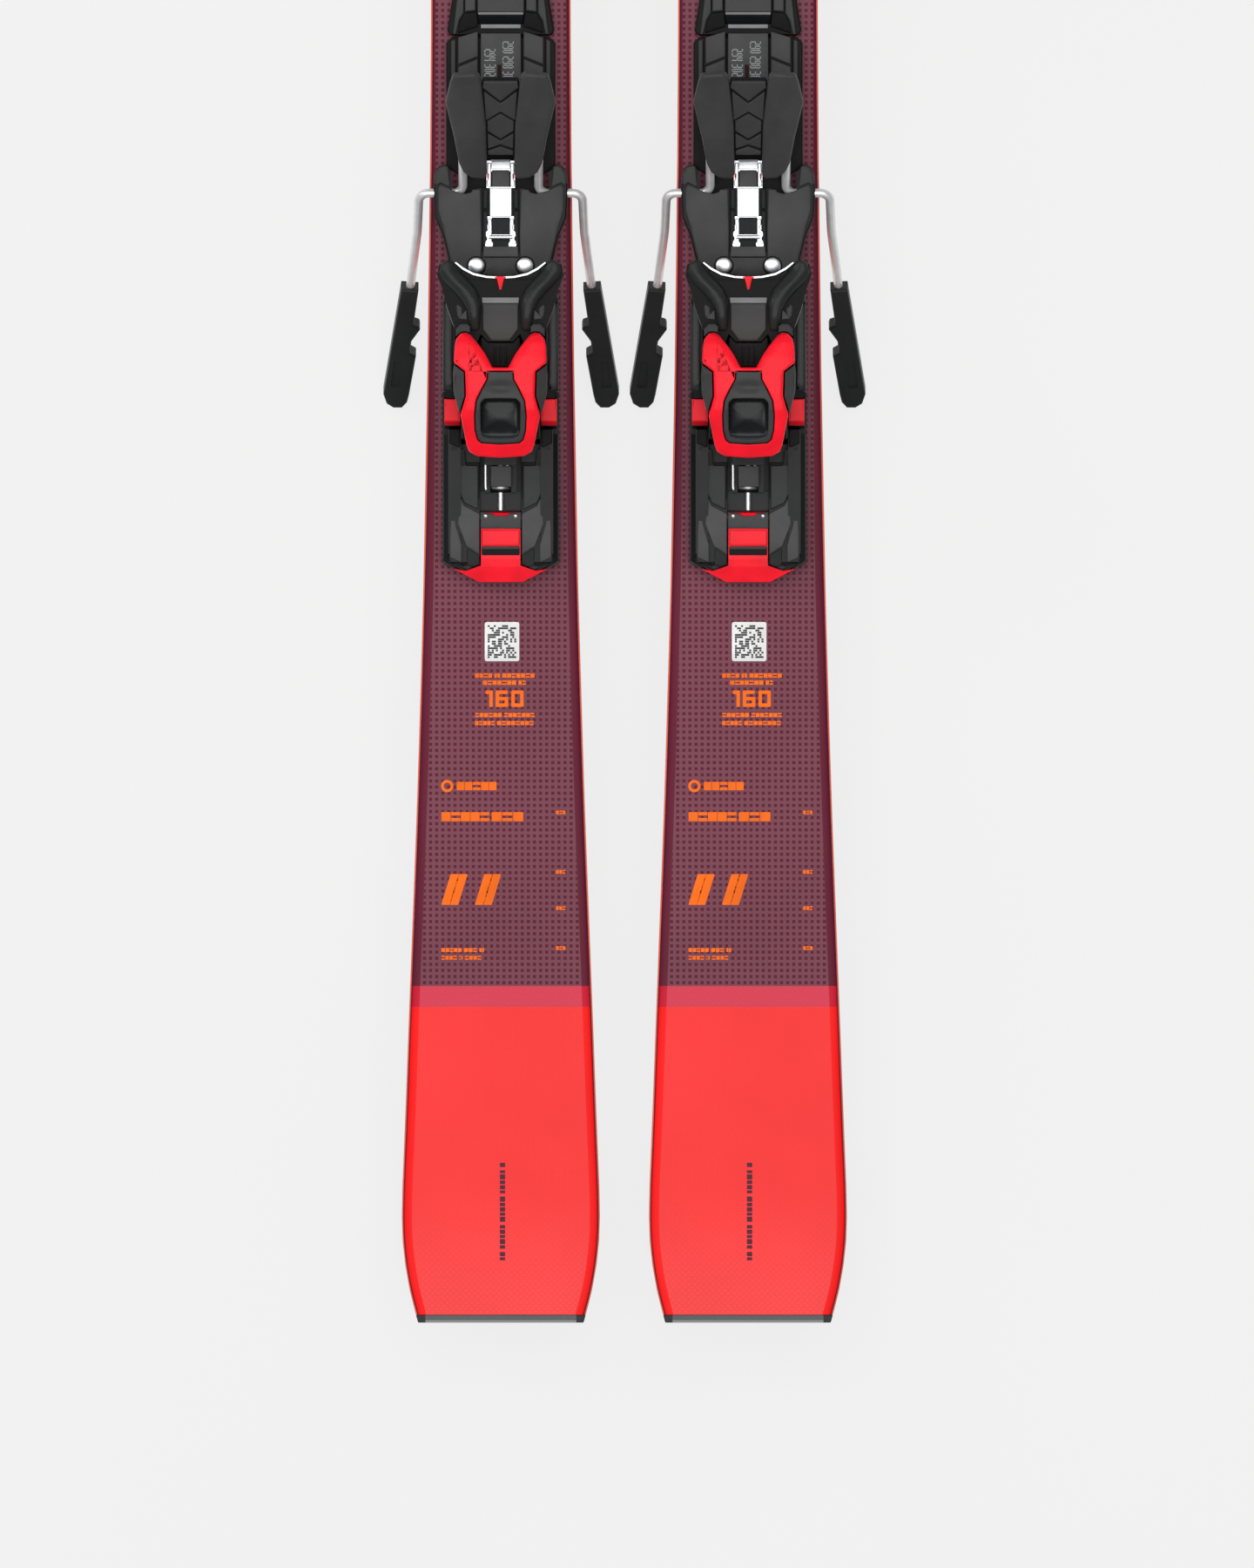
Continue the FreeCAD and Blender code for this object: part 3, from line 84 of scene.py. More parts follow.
class Graph:
    """A small helper for node graphs; every value is in millimetres of the piece's own space."""

    def __init__(self, name):
        self.m = bpy.data.materials.new(name)
        self.m.use_nodes = True
        self.t = self.m.node_tree
        self.t.nodes.clear()
        self.out = self.t.nodes.new("ShaderNodeOutputMaterial")
        self.bsdf = self.t.nodes.new("ShaderNodeBsdfPrincipled")
        self.t.links.new(self.bsdf.outputs[0], self.out.inputs[0])
        tc = self.t.nodes.new("ShaderNodeTexCoord")
        sc = self.t.nodes.new("ShaderNodeVectorMath")
        sc.operation = "SCALE"
        sc.inputs["Scale"].default_value = 1000.0
        self.t.links.new(tc.outputs["Object"], sc.inputs[0])
        self.p = sc.outputs[0]
        xyz = self.t.nodes.new("ShaderNodeSeparateXYZ")
        self.t.links.new(self.p, xyz.inputs[0])
        self.x, self.y, self.z = xyz.outputs

    def put(self, sock, v):
        if isinstance(v, bpy.types.NodeSocket):
            self.t.links.new(v, sock)
        elif v is not None:
            sock.default_value = v

    def math(self, op, a, b=None, c=None, clamp=False):
        n = self.t.nodes.new("ShaderNodeMath")
        n.operation = op
        n.use_clamp = clamp
        for s, v in zip(n.inputs, (a, b, c)):
            self.put(s, v)
        return n.outputs[0]

    def add(self, a, b): return self.math("ADD", a, b)
    def sub(self, a, b): return self.math("SUBTRACT", a, b)
    def mul(self, a, b): return self.math("MULTIPLY", a, b)
    def abs(self, a): return self.math("ABSOLUTE", a)
    def low(self, a, b): return self.math("MINIMUM", a, b)
    def high(self, a, b): return self.math("MAXIMUM", a, b)

    def step(self, v, a, b):
        """0 at a, 1 at b, smooth between."""
        n = self.t.nodes.new("ShaderNodeMapRange")
        n.interpolation_type = "SMOOTHSTEP"
        self.put(n.inputs["Value"], v)
        n.inputs["From Min"].default_value, n.inputs["From Max"].default_value = a, b
        return n.outputs[0]

    def scaled(self, v, a, b, c, d):
        n = self.t.nodes.new("ShaderNodeMapRange")
        self.put(n.inputs["Value"], v)
        for k, w in (("From Min", a), ("From Max", b), ("To Min", c), ("To Max", d)):
            n.inputs[k].default_value = w
        return n.outputs[0]

    def band(self, v, a, b, soft=0.08):
        return self.mul(self.step(v, a - soft, a + soft), self.step(v, b + soft, b - soft))

    def rect(self, x0, x1, y0, y1, soft=0.08):
        return self.mul(self.band(self.x, x0, x1, soft), self.band(self.y, y0, y1, soft))

    def stretch(self, v):
        n = self.t.nodes.new("ShaderNodeVectorMath")
        n.operation = "MULTIPLY"
        self.put(n.inputs[0], self.p)
        n.inputs[1].default_value = v
        return n.outputs[0]

    def noise(self, scale, detail=3.0, rough=0.5, at=None):
        n = self.t.nodes.new("ShaderNodeTexNoise")
        self.put(n.inputs["Vector"], self.p if at is None else at)
        n.inputs["Scale"].default_value = scale
        n.inputs["Detail"].default_value = detail
        n.inputs["Roughness"].default_value = rough
        return n.outputs[0]

    def cells(self, scale, at=None):
        n = self.t.nodes.new("ShaderNodeTexVoronoi")
        self.put(n.inputs["Vector"], self.p if at is None else at)
        n.inputs["Scale"].default_value = scale
        return n.outputs["Distance"]

    def mix(self, f, a, b, how="MIX"):
        n = self.t.nodes.new("ShaderNodeMix")
        n.data_type = "RGBA"
        n.blend_type = how
        self.put(n.inputs[0], f)
        self.put(n.inputs[6], a)
        self.put(n.inputs[7], b)
        return n.outputs[2]

    def bump(self, height, dist, strength=1.0, normal=None):
        n = self.t.nodes.new("ShaderNodeBump")
        n.inputs["Strength"].default_value = strength
        n.inputs["Distance"].default_value = dist
        self.put(n.inputs["Height"], height)
        if normal is not None:
            self.put(n.inputs["Normal"], normal)
        return n.outputs[0]

    def attr(self, name):
        n = self.t.nodes.new("ShaderNodeAttribute")
        n.attribute_name = name
        return n.outputs["Fac"]

    def set(self, **kw):
        names = {"color": "Base Color", "rough": "Roughness", "metal": "Metallic", "normal": "Normal", "spec": "Specular IOR Level", "coat": "Coat Weight", "coat_rough": "Coat Roughness", "aniso": "Anisotropic"}
        for k, v in kw.items():
            self.put(self.bsdf.inputs[names[k]], v)
        return self.m


def shade(c, k):
    return (c[0] * k, c[1] * k, c[2] * k, 1.0)


def plastic(name, rgb, rough=0.45, grain=0.02, spec=0.4, worn=0.12):
    """Moulded plastic: slow tone drift, fine spark-eroded grain, a few faint scuffs."""
    g = Graph(name)
    base = tuple(max(0.0025, c * 1.02 - 0.014) for c in lin(*rgb)[:3]) + (1,)
    spec *= 0.5
    drift = g.noise(0.06, 3.0)
    fine = g.noise(1.9, 4.0, 0.65)
    grit = g.cells(2.6)
    c = g.mix(g.scaled(drift, 0.3, 0.7, 0.0, 1.0), shade(base, 0.86), shade(base, 1.14))
    scuff = g.step(g.noise(0.9, 5.0, 0.7, g.stretch((1.0, 0.12, 1.0))), 0.62, 0.78)
    c = g.mix(g.mul(scuff, worn), c, (base[0] * 1.5 + 0.008, base[1] * 1.5 + 0.008, base[2] * 1.5 + 0.008, 1))
    r = g.scaled(fine, 0.3, 0.7, rough - 0.06, rough + 0.08)
    h = g.add(g.mul(fine, 0.6), g.mul(grit, 0.4))
    n = g.bump(h, 0.00006, grain * 12)
    return g.set(color=c, rough=r, normal=n, spec=spec)


def steel(name, rgb=(225, 226, 228), rough=0.22, along=(0.3, 6.0, 6.0), metal=1.0):
    """Plated or ground steel with fine lines along one axis."""
    g = Graph(name)
    base = lin(*rgb)
    lines = g.noise(1.4, 4.0, 0.6, g.stretch(along))
    haze = g.noise(0.15, 3.0)
    c = g.mix(g.scaled(haze, 0.35, 0.65, 0.0, 1.0), shade(base, 0.9), base)
    r = g.add(g.scaled(lines, 0.3, 0.7, rough - 0.05, rough + 0.08), g.mul(haze, 0.05))
    n = g.bump(lines, 0.00002, 0.35)
    return g.set(color=c, rough=r, metal=metal, normal=n)


def topsheet_material():
    """Printed sheet under clear lacquer: dark middle with a fine square screen, a band, red ends; painted shade on the
    sloping shoulders and at the edge, painted light on the upturned ends.
    """
    g = Graph("topsheet_print")
    edge = g.attr("edge_mm")
    pitch = 3.0714
    fx = g.math("FRACT", g.math("DIVIDE", g.add(g.x, 500 * pitch), pitch))
    fy = g.math("FRACT", g.math("DIVIDE", g.add(g.y, 620.8 + 300.5 * pitch), pitch))
    dx = g.abs(g.sub(fx, 0.5))
    dy = g.abs(g.sub(fy, 0.5))
    dot = g.mul(g.step(dx, 0.275, 0.235), g.step(dy, 0.275, 0.235))
    # rim: the sloping shoulder along each edge; the screen stops there (print), and the colour is painted deeper there
    # as painted shade on the slope
    rim = g.math("MINIMUM", g.math("MAXIMUM", g.mul(g.add(g.y, 46.0), -0.0105), 1.3), 4.15)
    inner = g.step(g.sub(edge, rim), 0.0, 0.4)
    dot = g.mul(dot, inner)
    slow = g.noise(0.012, 2.0)
    tint = g.scaled(slow, 0.3, 0.7, 0.94, 1.06)
    # dark middle
    dark = g.mix(dot, lin(122, 66, 80), lin(92, 8, 38))
    # the shoulder in a deeper tone: painted shade
    dark = g.mix(g.math("SUBTRACT", 1.0, inner), dark, lin(100, 20, 46))
    # band and red ends; toward the tail and the tip, where the ski turns up, the red is painted lighter through the
    # weave: painted light on the upturn
    weave = g.mul(g.step(g.math("SINE", g.mul(g.add(g.x, g.y), 2.05)), -0.2, 0.8), g.step(g.math("SINE", g.mul(g.sub(g.x, g.y), 2.05)), -0.2, 0.8))
    band_c = g.mix(g.mul(weave, 0.25), lin(221, 62, 84), lin(230, 72, 90))
    # the shoulder in a deeper red: painted shade
    band_c = g.mix(g.math("SUBTRACT", 1.0, inner), band_c, lin(204, 16, 48))
    # painted light on the upturned ends
    upturn_light = g.add(g.step(g.y, -735.0, -806.0), g.step(g.y, 640.0, 790.0))
    red_c = g.mix(g.mul(upturn_light, g.add(0.45, g.mul(weave, 0.55))), lin(255, 55, 55), lin(255, 80, 80))
    # the shoulder in a deeper red: painted shade
    red_c = g.mix(g.math("SUBTRACT", 1.0, inner), red_c, lin(255, 14, 14))
    # zones by the ski's own length
    rear_red = g.step(g.y, -651.25, -651.55)
    rear_band = g.step(g.y, -640.75, -641.05)
    front_red = g.step(g.y, 401.25, 401.55)
    front_band = g.step(g.y, 390.75, 391.05)
    c = g.mix(g.high(rear_band, front_band), dark, band_c)
    c = g.mix(g.high(rear_red, front_red), c, red_c)
    # a darker line painted where the shoulder turns down to the sidewall: painted shade on the rounded edge
    c = g.mix(g.step(edge, 1.0, 0.2), c, lin(78, 14, 28), "MIX")
    c = g.mix(0.35, c, g.mix(1.0, c, (1, 1, 1, 1), "MULTIPLY"))
    tinted = g.t.nodes.new("ShaderNodeVectorMath")
    tinted.operation = "SCALE"
    g.put(tinted.inputs[0], c)
    g.put(tinted.inputs["Scale"], tint)
    scratch = g.step(g.noise(0.35, 6.0, 0.7, g.stretch((1.0, 0.05, 1.0))), 0.66, 0.74)
    fine = g.noise(2.2, 3.0)
    r = g.add(g.scaled(fine, 0.3, 0.7, 0.36, 0.46), g.mul(scratch, 0.12))
    n = g.bump(g.add(g.mul(dot, -1.0), g.mul(fine, 0.15)), 0.00004, 0.5)
    return g.set(color=tinted.outputs[0], rough=r, normal=n, spec=0.16)


def carriage_material():
    """Black moulding whose two axle ears have red faces."""
    g = Graph("carriage_plastic")
    base = lin(34, 35, 36)
    drift = g.noise(0.06, 3.0)
    fine = g.noise(1.9, 4.0, 0.65)
    c = g.mix(g.scaled(drift, 0.3, 0.7, 0.0, 1.0), shade(base, 0.85), shade(base, 1.15))
    wide = g.math("ABSOLUTE", g.sub(g.abs(g.x), CX["right"] * 1000))
    red = g.mul(g.mul(g.step(wide, 19.9, 20.2), g.band(g.y, -359.6, -346.2, 0.1)), g.step(g.z, ZT * 1000 + 21.2, ZT * 1000 + 21.4))
    c = g.mix(red, c, g.mix(g.scaled(drift, 0.3, 0.7, 0.0, 1.0), lin(236, 24, 38), lin(246, 30, 44)))
    r = g.scaled(fine, 0.3, 0.7, 0.36, 0.5)
    return g.set(color=c, rough=r, normal=g.bump(fine, 0.00005, 0.25), spec=0.2)


def base_material():
    """Sintered running base: near black, faint stone-ground lines along the ski."""
    g = Graph("running_base")
    lines = g.noise(1.0, 5.0, 0.6, g.stretch((4.0, 0.02, 1.0)))
    flecks = g.noise(0.7, 3.0)
    c = g.mix(g.scaled(flecks, 0.35, 0.65, 0.0, 1.0), lin(34, 34, 37), lin(50, 50, 54))
    stripe = g.band(g.math("ABSOLUTE", g.sub(g.abs(g.x), CX["right"] * 1000)), -1.0, 6.0, 0.1)
    c = g.mix(g.mul(stripe, g.band(g.y, -520.0, 430.0, 0.3)), c, lin(196, 34, 42))
    return g.set(color=c, rough=g.scaled(lines, 0.3, 0.7, 0.32, 0.5), normal=g.bump(lines, 0.00005, 0.5), spec=0.35)


def wood_material():
    g = Graph("core_wood")
    rings = g.t.nodes.new("ShaderNodeTexWave")
    rings.inputs["Scale"].default_value = 0.25
    rings.inputs["Distortion"].default_value = 3.0
    g.put(rings.inputs["Vector"], g.stretch((1.0, 0.03, 1.0)))
    strip = g.math("FRACT", g.math("DIVIDE", g.add(g.x, 1000.0), 12.0))
    c = g.mix(rings.outputs[1], lin(205, 168, 120), lin(170, 126, 80))
    c = g.mix(g.step(strip, 0.96, 1.0), c, lin(110, 76, 46))
    return g.set(color=c, rough=g.scaled(rings.outputs[1], 0, 1, 0.5, 0.65), normal=g.bump(rings.outputs[1], 0.0001, 0.3))


def sidewall_material():
    """Phenolic-like wall, milled, salmon red, with faint tool marks."""
    g = Graph("sidewall_plastic")
    marks = g.noise(1.2, 4.0, 0.6, g.stretch((1.0, 0.04, 3.0)))
    c = g.mix(g.scaled(marks, 0.3, 0.7, 0.0, 1.0), lin(226, 92, 74), lin(240, 112, 92))
    return g.set(color=c, rough=g.scaled(marks, 0.3, 0.7, 0.35, 0.5), normal=g.bump(marks, 0.00004, 0.4), spec=0.35)


def protector_material():
    """End caps: dark grey with the lighter lip at the very end."""
    g = Graph("end_cap")
    fine = g.noise(2.0, 4.0, 0.6)
    c = g.mix(g.scaled(fine, 0.3, 0.7, 0.0, 1.0), lin(72, 78, 78), lin(88, 94, 94))
    c = g.mix(g.step(g.y, -808.6, -809.0), c, lin(140, 140, 140))
    wide = g.math("ABSOLUTE", g.sub(g.abs(g.x), CX["right"] * 1000))
    c = g.mix(g.mul(g.step(wide, 37.6, 38.2), g.step(g.y, 0.0, -1.0)), c, lin(14, 18, 18))
    return g.set(color=c, rough=g.scaled(fine, 0.3, 0.7, 0.4, 0.55), normal=g.bump(fine, 0.00006, 0.4), spec=0.35)


M = {
    "top": topsheet_material(), "base": base_material(), "wood": wood_material(), "wall": sidewall_material(), "cap": protector_material(),
    "carriage": carriage_material(),
    "edge": steel("edge_steel", (190, 190, 192), 0.3, (6.0, 0.2, 6.0)),
    "screw": steel("screw_zinc", (200, 202, 205), 0.3, (2.0, 2.0, 2.0)),
    "wire": steel("wire_plated", (236, 237, 238), 0.3, (1.0, 1.0, 1.0), 0.55),
    "plate": steel("plate_steel", (240, 241, 243), 0.3, (3.0, 0.4, 3.0)),
    "spring": steel("spring_steel", (150, 152, 156), 0.3, (2.0, 2.0, 2.0)),
    "alloy": steel("turned_alloy", (150, 151, 153), 0.34, (1.0, 8.0, 1.0)),
    "pin": steel("ground_pin", (228, 229, 231), 0.18, (6.0, 1.0, 1.0)),
    # the dark plastics come in several tones: the darker ones (dark, deep) go mostly on low, sloped and sunken pieces
    # as painted shade, the paler ones (grey, mid, light) mostly on raised tops and edges as painted light
    "satin": plastic("plastic_satin", (50, 51, 51), 0.34, 0.01, 0.45),
    "light": plastic("plastic_light", (140, 140, 140), 0.4, 0.02, 0.4),
    "slit": plastic("slit_dark_red", (52, 14, 24), 0.5, 0.01, 0.3),
    "black": plastic("plastic_black", (62, 63, 63), 0.42, 0.02),
    "dark": plastic("plastic_dark", (36, 37, 38), 0.45, 0.02),
    "deep": plastic("plastic_deep", (22, 22, 23), 0.5, 0.015, 0.3),
    "grey": plastic("plastic_grey", (80, 80, 80), 0.46, 0.025),
    "mid": plastic("plastic_mid", (70, 70, 70), 0.44, 0.025),
    "gloss": plastic("plastic_gloss", (48, 49, 50), 0.24, 0.008, 0.5),
    "tip": plastic("brake_tip_plastic", (48, 50, 50), 0.4, 0.03),
    "red": plastic("plastic_red", (255, 40, 54), 0.34, 0.006, 0.4, 0.03),
    "red_dark": plastic("plastic_red_dark", (232, 36, 48), 0.36, 0.006, 0.4, 0.03),
    "afd": plastic("slip_plate", (205, 207, 210), 0.28, 0.004, 0.45, 0.2),
    "orange": plastic("print_orange", (255, 116, 30), 0.45, 0.004, 0.3, 0.02),
    "ink": plastic("print_dark", (92, 52, 66), 0.45, 0.004, 0.3, 0.02),
    "white": plastic("print_white", (240, 240, 240), 0.45, 0.004, 0.3, 0.02),
    "print_grey": plastic("print_grey", (165, 167, 168), 0.45, 0.004, 0.3, 0.02),
}


# ------------------------------------------------------------------ mesh tools
def smooth_by_angle(bm, limit=38.0):
    lim = math.radians(limit)
    for f in bm.faces:
        f.smooth = True
    for e in bm.edges:
        e.smooth = e.calc_face_angle(math.pi) < lim if len(e.link_faces) == 2 else False


def finish_mesh(bm, name, limit=38.0, tris=False):
    bmesh.ops.remove_doubles(bm, verts=bm.verts, dist=1e-4)
    loose = [v for v in bm.verts if not v.link_faces]
    bmesh.ops.delete(bm, geom=loose, context="VERTS")
    bmesh.ops.recalc_face_normals(bm, faces=bm.faces)
    smooth_by_angle(bm, limit)
    me = bpy.data.meshes.new(name)
    bm.to_mesh(me)
    bm.free()
    return me


def area2(loop):
    return sum(loop[i][0] * loop[(i + 1) % len(loop)][1] - loop[(i + 1) % len(loop)][0] * loop[i][1] for i in range(len(loop)))


def ccw(loop):
    return loop if area2(loop) > 0 else loop[::-1]


def inward(loop, d):
    """The loop moved d towards its left, with mitred corners."""
    n = len(loop)
    out = []
    for i in range(n):
        a, b, c = loop[i - 1], loop[i], loop[(i + 1) % n]
        u = Vector((b[0] - a[0], b[1] - a[1]))
        w = Vector((c[0] - b[0], c[1] - b[1]))
        if u.length < 1e-9 or w.length < 1e-9:
            out.append(tuple(b))
            continue
        u.normalize()
        w.normalize()
        n1, n2 = Vector((-u.y, u.x)), Vector((-w.y, w.x))
        m = n1 + n2
        if m.length < 1e-6:
            m = n1
        m.normalize()
        k = 1.0 / max(m.dot(n1), 0.45)
        out.append((b[0] + m.x * d * k, b[1] + m.y * d * k))
    return out


def soften(loop, r, seg=4):
    """Rounds a loop's corners by up to r; a corner given as (x, y, r) uses its own radius."""
    n = len(loop)
    out = []
    for i in range(n):
        a, b, c = (Vector(loop[(i + k) % n][:2]) for k in (-1, 0, 1))
        rr = loop[i][2] if len(loop[i]) > 2 else r
        u, w = a - b, c - b
        lu, lw = u.length, w.length
        if rr <= 0 or lu < 1e-6 or lw < 1e-6:
            out.append(tuple(b))
            continue
        u.normalize()
        w.normalize()
        ang = u.angle(w)
        if ang > math.radians(176):
            out.append(tuple(b))
            continue
        t = min(rr / math.tan(ang / 2), 0.45 * lu, 0.45 * lw)
        p, q = b + u * t, b + w * t
        for k in range(seg + 1):
            s = k / seg
            v = p * (1 - s) ** 2 + b * (2 * s * (1 - s)) + q * s ** 2
            out.append((v.x, v.y))
    return out


def mirrored(half):
    """Closes a right-hand half outline with its mirror image."""
    left = [(-p[0], *p[1:]) for p in reversed(half) if abs(p[0]) > 1e-6]
    return list(half) + left


def flipped(loop, s):
    return list(loop) if s > 0 else [(-p[0], *p[1:]) for p in reversed(loop)]


def const(z):
    return lambda x, y: z


def line_z(points):
    """A height that follows a list of (y, z)."""
    ys = [p[0] for p in sorted(points)]
    zs = [p[1] for p in sorted(points)]
    return lambda x, y: float(np.interp(y, ys, zs))


def shell(loops, top, bottom, rnd=0.8, seg=3, cell=3.0, foot=0.0):
    """A solid on one or more outlines (the first the outside, the rest holes), with a shaped top whose edge is rounded."""
    top = top if callable(top) else const(top)
    bottom = bottom if callable(bottom) else const(bottom)
    bm = bmesh.new()
    drops = {}
    caps, feet = [], []
    rounds = rnd if isinstance(rnd, list) else [rnd] * len(loops)
    for k, loop in enumerate(loops):
        rnd = rounds[k]
        loop = [tuple(p[:2]) for p in loop]
        if (area2(loop) > 0) != (k == 0):
            loop = loop[::-1]
        levels = []
        if foot > 0:
            levels.append((foot, "b", 0.0))
            levels.append((0.0, "b", foot))
        else:
            levels.append((0.0, "b", 0.0))
        levels.append((0.0, "t", rnd))
        for i in range(1, seg + 1):
            a = i / seg * math.pi / 2
            levels.append((rnd * (1 - math.cos(a)), "t", rnd * (1 - math.sin(a))))
        rows = []
        for off, kind, drop in levels:
            pts = inward(loop, off) if off else loop
            row = []
            for (x, y) in pts:
                z = top(x, y) - drop if kind == "t" else bottom(x, y) + drop
                row.append(bm.verts.new((x, y, z)))
            rows.append(row)
        n = len(loop)
        for a, b in zip(rows, rows[1:]):
            for i in range(n):
                j = (i + 1) % n
                try:
                    bm.faces.new((a[i], a[j], b[j], b[i]))
                except ValueError:
                    pass
        caps += [bm.edges.get((rows[-1][i], rows[-1][(i + 1) % n])) for i in range(n)]
        feet += [bm.edges.get((rows[0][i], rows[0][(i + 1) % n])) for i in range(n)]
    bmesh.ops.triangle_fill(bm, use_beauty=True, edges=feet)
    made = bmesh.ops.triangle_fill(bm, use_beauty=True, edges=caps)["geom"]
    faces = [g for g in made if isinstance(g, bmesh.types.BMFace)]
    if cell:
        xs = [p[0] for p in loops[0]]
        ys = [p[1] for p in loops[0]]
        for axis, a, b in ((0, min(xs), max(xs)), (1, min(ys), max(ys))):
            count = int((b - a) / cell)
            for i in range(1, count + 1):
                c = a + (b - a) * i / (count + 1)
                co = (c, 0, 0) if axis == 0 else (0, c, 0)
                no = (1, 0, 0) if axis == 0 else (0, 1, 0)
                faces = [f for f in faces if f.is_valid]
                geom = set(faces)
                for f in faces:
                    geom.update(f.edges)
                    geom.update(f.verts)
                cut = bmesh.ops.bisect_plane(bm, geom=list(geom), dist=1e-5, plane_co=co, plane_no=no)
                faces = [g for g in cut["geom"] if isinstance(g, bmesh.types.BMFace)]
        rims = set()
        for f in faces:
            if f.is_valid:
                for v in f.verts:
                    rims.add(v)
        for v in rims:
            v.co.z = top(v.co.x, v.co.y) - drops.get(v, 0.0)
    return bm


def tube(points, radius, sides=12, closed=False):
    """A round bar along points."""
    bm = bmesh.new()
    pts = [Vector(p) for p in points]
    rows = []
    up = Vector((0, 0, 1))
    for i, p in enumerate(pts):
        a = pts[max(i - 1, 0)]
        b = pts[min(i + 1, len(pts) - 1)]
        t = (b - a).normalized()
        s = t.cross(up)
        if s.length < 1e-4:
            s = t.cross(Vector((1, 0, 0)))
        s.normalize()
        w = s.cross(t).normalized()
        rows.append([bm.verts.new(p + (s * math.cos(k / sides * math.tau) + w * math.sin(k / sides * math.tau)) * radius) for k in range(sides)])
    for a, b in zip(rows, rows[1:]):
        for k in range(sides):
            j = (k + 1) % sides
            bm.faces.new((a[k], a[j], b[j], b[k]))
    bm.faces.new(rows[0][::-1])
    bm.faces.new(rows[-1])
    return bm


def dome(x, y, z, r, h, rings=6, sides=28, flat=0.0):
    """A round head: a short wall under a crown."""
    bm = bmesh.new()
    rows = []
    for k in range(rings + 1):
        a = k / rings * math.pi / 2
        rr = r * math.cos(a) * (1 - flat) + r * flat * (1 if k < rings else 0)
        rows.append((max(rr, 0.0), z + h * math.sin(a)))
    rows = [(r, z - 0.6)] + rows
    vr = []
    for rr, zz in rows[:-1]:
        vr.append([bm.verts.new((x + rr * math.cos(i / sides * math.tau), y + rr * math.sin(i / sides * math.tau), zz)) for i in range(sides)])
    top = bm.verts.new((x, y, rows[-1][1]))
    for a, b in zip(vr, vr[1:]):
        for i in range(sides):
            j = (i + 1) % sides
            bm.faces.new((a[i], a[j], b[j], b[i]))
    for i in range(sides):
        bm.faces.new((vr[-1][i], vr[-1][(i + 1) % sides], top))
    bm.faces.new(vr[0][::-1])
    return bm


def join(bms):
    out = bmesh.new()
    for b in bms:
        me = bpy.data.meshes.new("t")
        b.to_mesh(me)
        b.free()
        out.from_mesh(me)
        bpy.data.meshes.remove(me)
    return out


def place(name, bm, mat, body, at=deck_at, replaces=(), limit=38.0):
    """Puts the mesh on both skis and makes it ride on that body of each."""
    # the mesh is in metres; the object keeps the place, so its own space starts at the ski's centre line
    me = finish_mesh(bm, name, limit)
    me.materials.append(M[mat])
    scale = Matrix.Scale(0.001, 4)
    me.transform(scale)
    for side, _ in SIDES:
        ob = bpy.data.objects.new(side + "_" + name, me.copy() if side == "right" else me)
        ob.data.name = side + "_" + name
        bpy.context.scene.collection.objects.link(ob)
        ob.matrix_world = at[side] @ scale.inverted()
        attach(ob, side + "_" + body)
        for node in replaces:
            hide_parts(side + "_ski_" + node)


def dress(node, mat, bevel=0.35, dissolve=True):
    """A CAD node that stays: its material, softened edges and even shading."""
    for side, _ in SIDES:
        ob = frame["nodes"][side + "_ski_" + node]
        for i in range(max(1, len(ob.material_slots))):
            if i < len(ob.material_slots):
                ob.material_slots[i].material = M[mat]
            else:
                ob.data.materials.append(M[mat])
        if bevel:
            w = ob.modifiers.new("weld", "WELD")
            w.merge_threshold = 2e-6
            if dissolve:
                d = ob.modifiers.new("flat", "DECIMATE")
                d.decimate_type = "DISSOLVE"
                d.angle_limit = math.radians(0.6)
            b = ob.modifiers.new("soft", "BEVEL")
            b.limit_method = "ANGLE"
            b.angle_limit = math.radians(32)
            b.width = bevel * 0.001
            b.segments = 2
            b.miter_outer = "MITER_ARC"
            n = ob.modifiers.new("shade", "WEIGHTED_NORMAL")
            n.keep_sharp = False


# ------------------------------------------------------------------ the ski: shape functions
def spline(xs, ys, d0=None, d1=None):
    """Cubic spline through the points; a slope of None is left free."""
    xs, ys = np.array(xs, float), np.array(ys, float)
    n = len(xs)
    h = np.diff(xs)
    A = np.zeros((n, n))
    r = np.zeros(n)
    for i in range(1, n - 1):
        A[i, i - 1], A[i, i], A[i, i + 1] = h[i - 1], 2 * (h[i - 1] + h[i]), h[i]
        r[i] = 6 * ((ys[i + 1] - ys[i]) / h[i] - (ys[i] - ys[i - 1]) / h[i - 1])
    if d0 is None:
        A[0, 0] = 1
    else:
        A[0, 0], A[0, 1], r[0] = 2 * h[0], h[0], 6 * ((ys[1] - ys[0]) / h[0] - d0)
    if d1 is None:
        A[-1, -1] = 1
    else:
        A[-1, -1], A[-1, -2], r[-1] = 2 * h[-1], h[-1], 6 * (d1 - (ys[-1] - ys[-2]) / h[-1])
    m = np.linalg.solve(A, r)

    def f(x):
        i = int(min(max(np.searchsorted(xs, x) - 1, 0), n - 2))
        a, b = xs[i + 1] - x, x - xs[i]
        return float((m[i] * a ** 3 + m[i + 1] * b ** 3) / (6 * h[i]) + (ys[i] / h[i] - m[i] * h[i] / 6) * a + (ys[i + 1] / h[i] - m[i + 1] * h[i] / 6) * b)

    return f


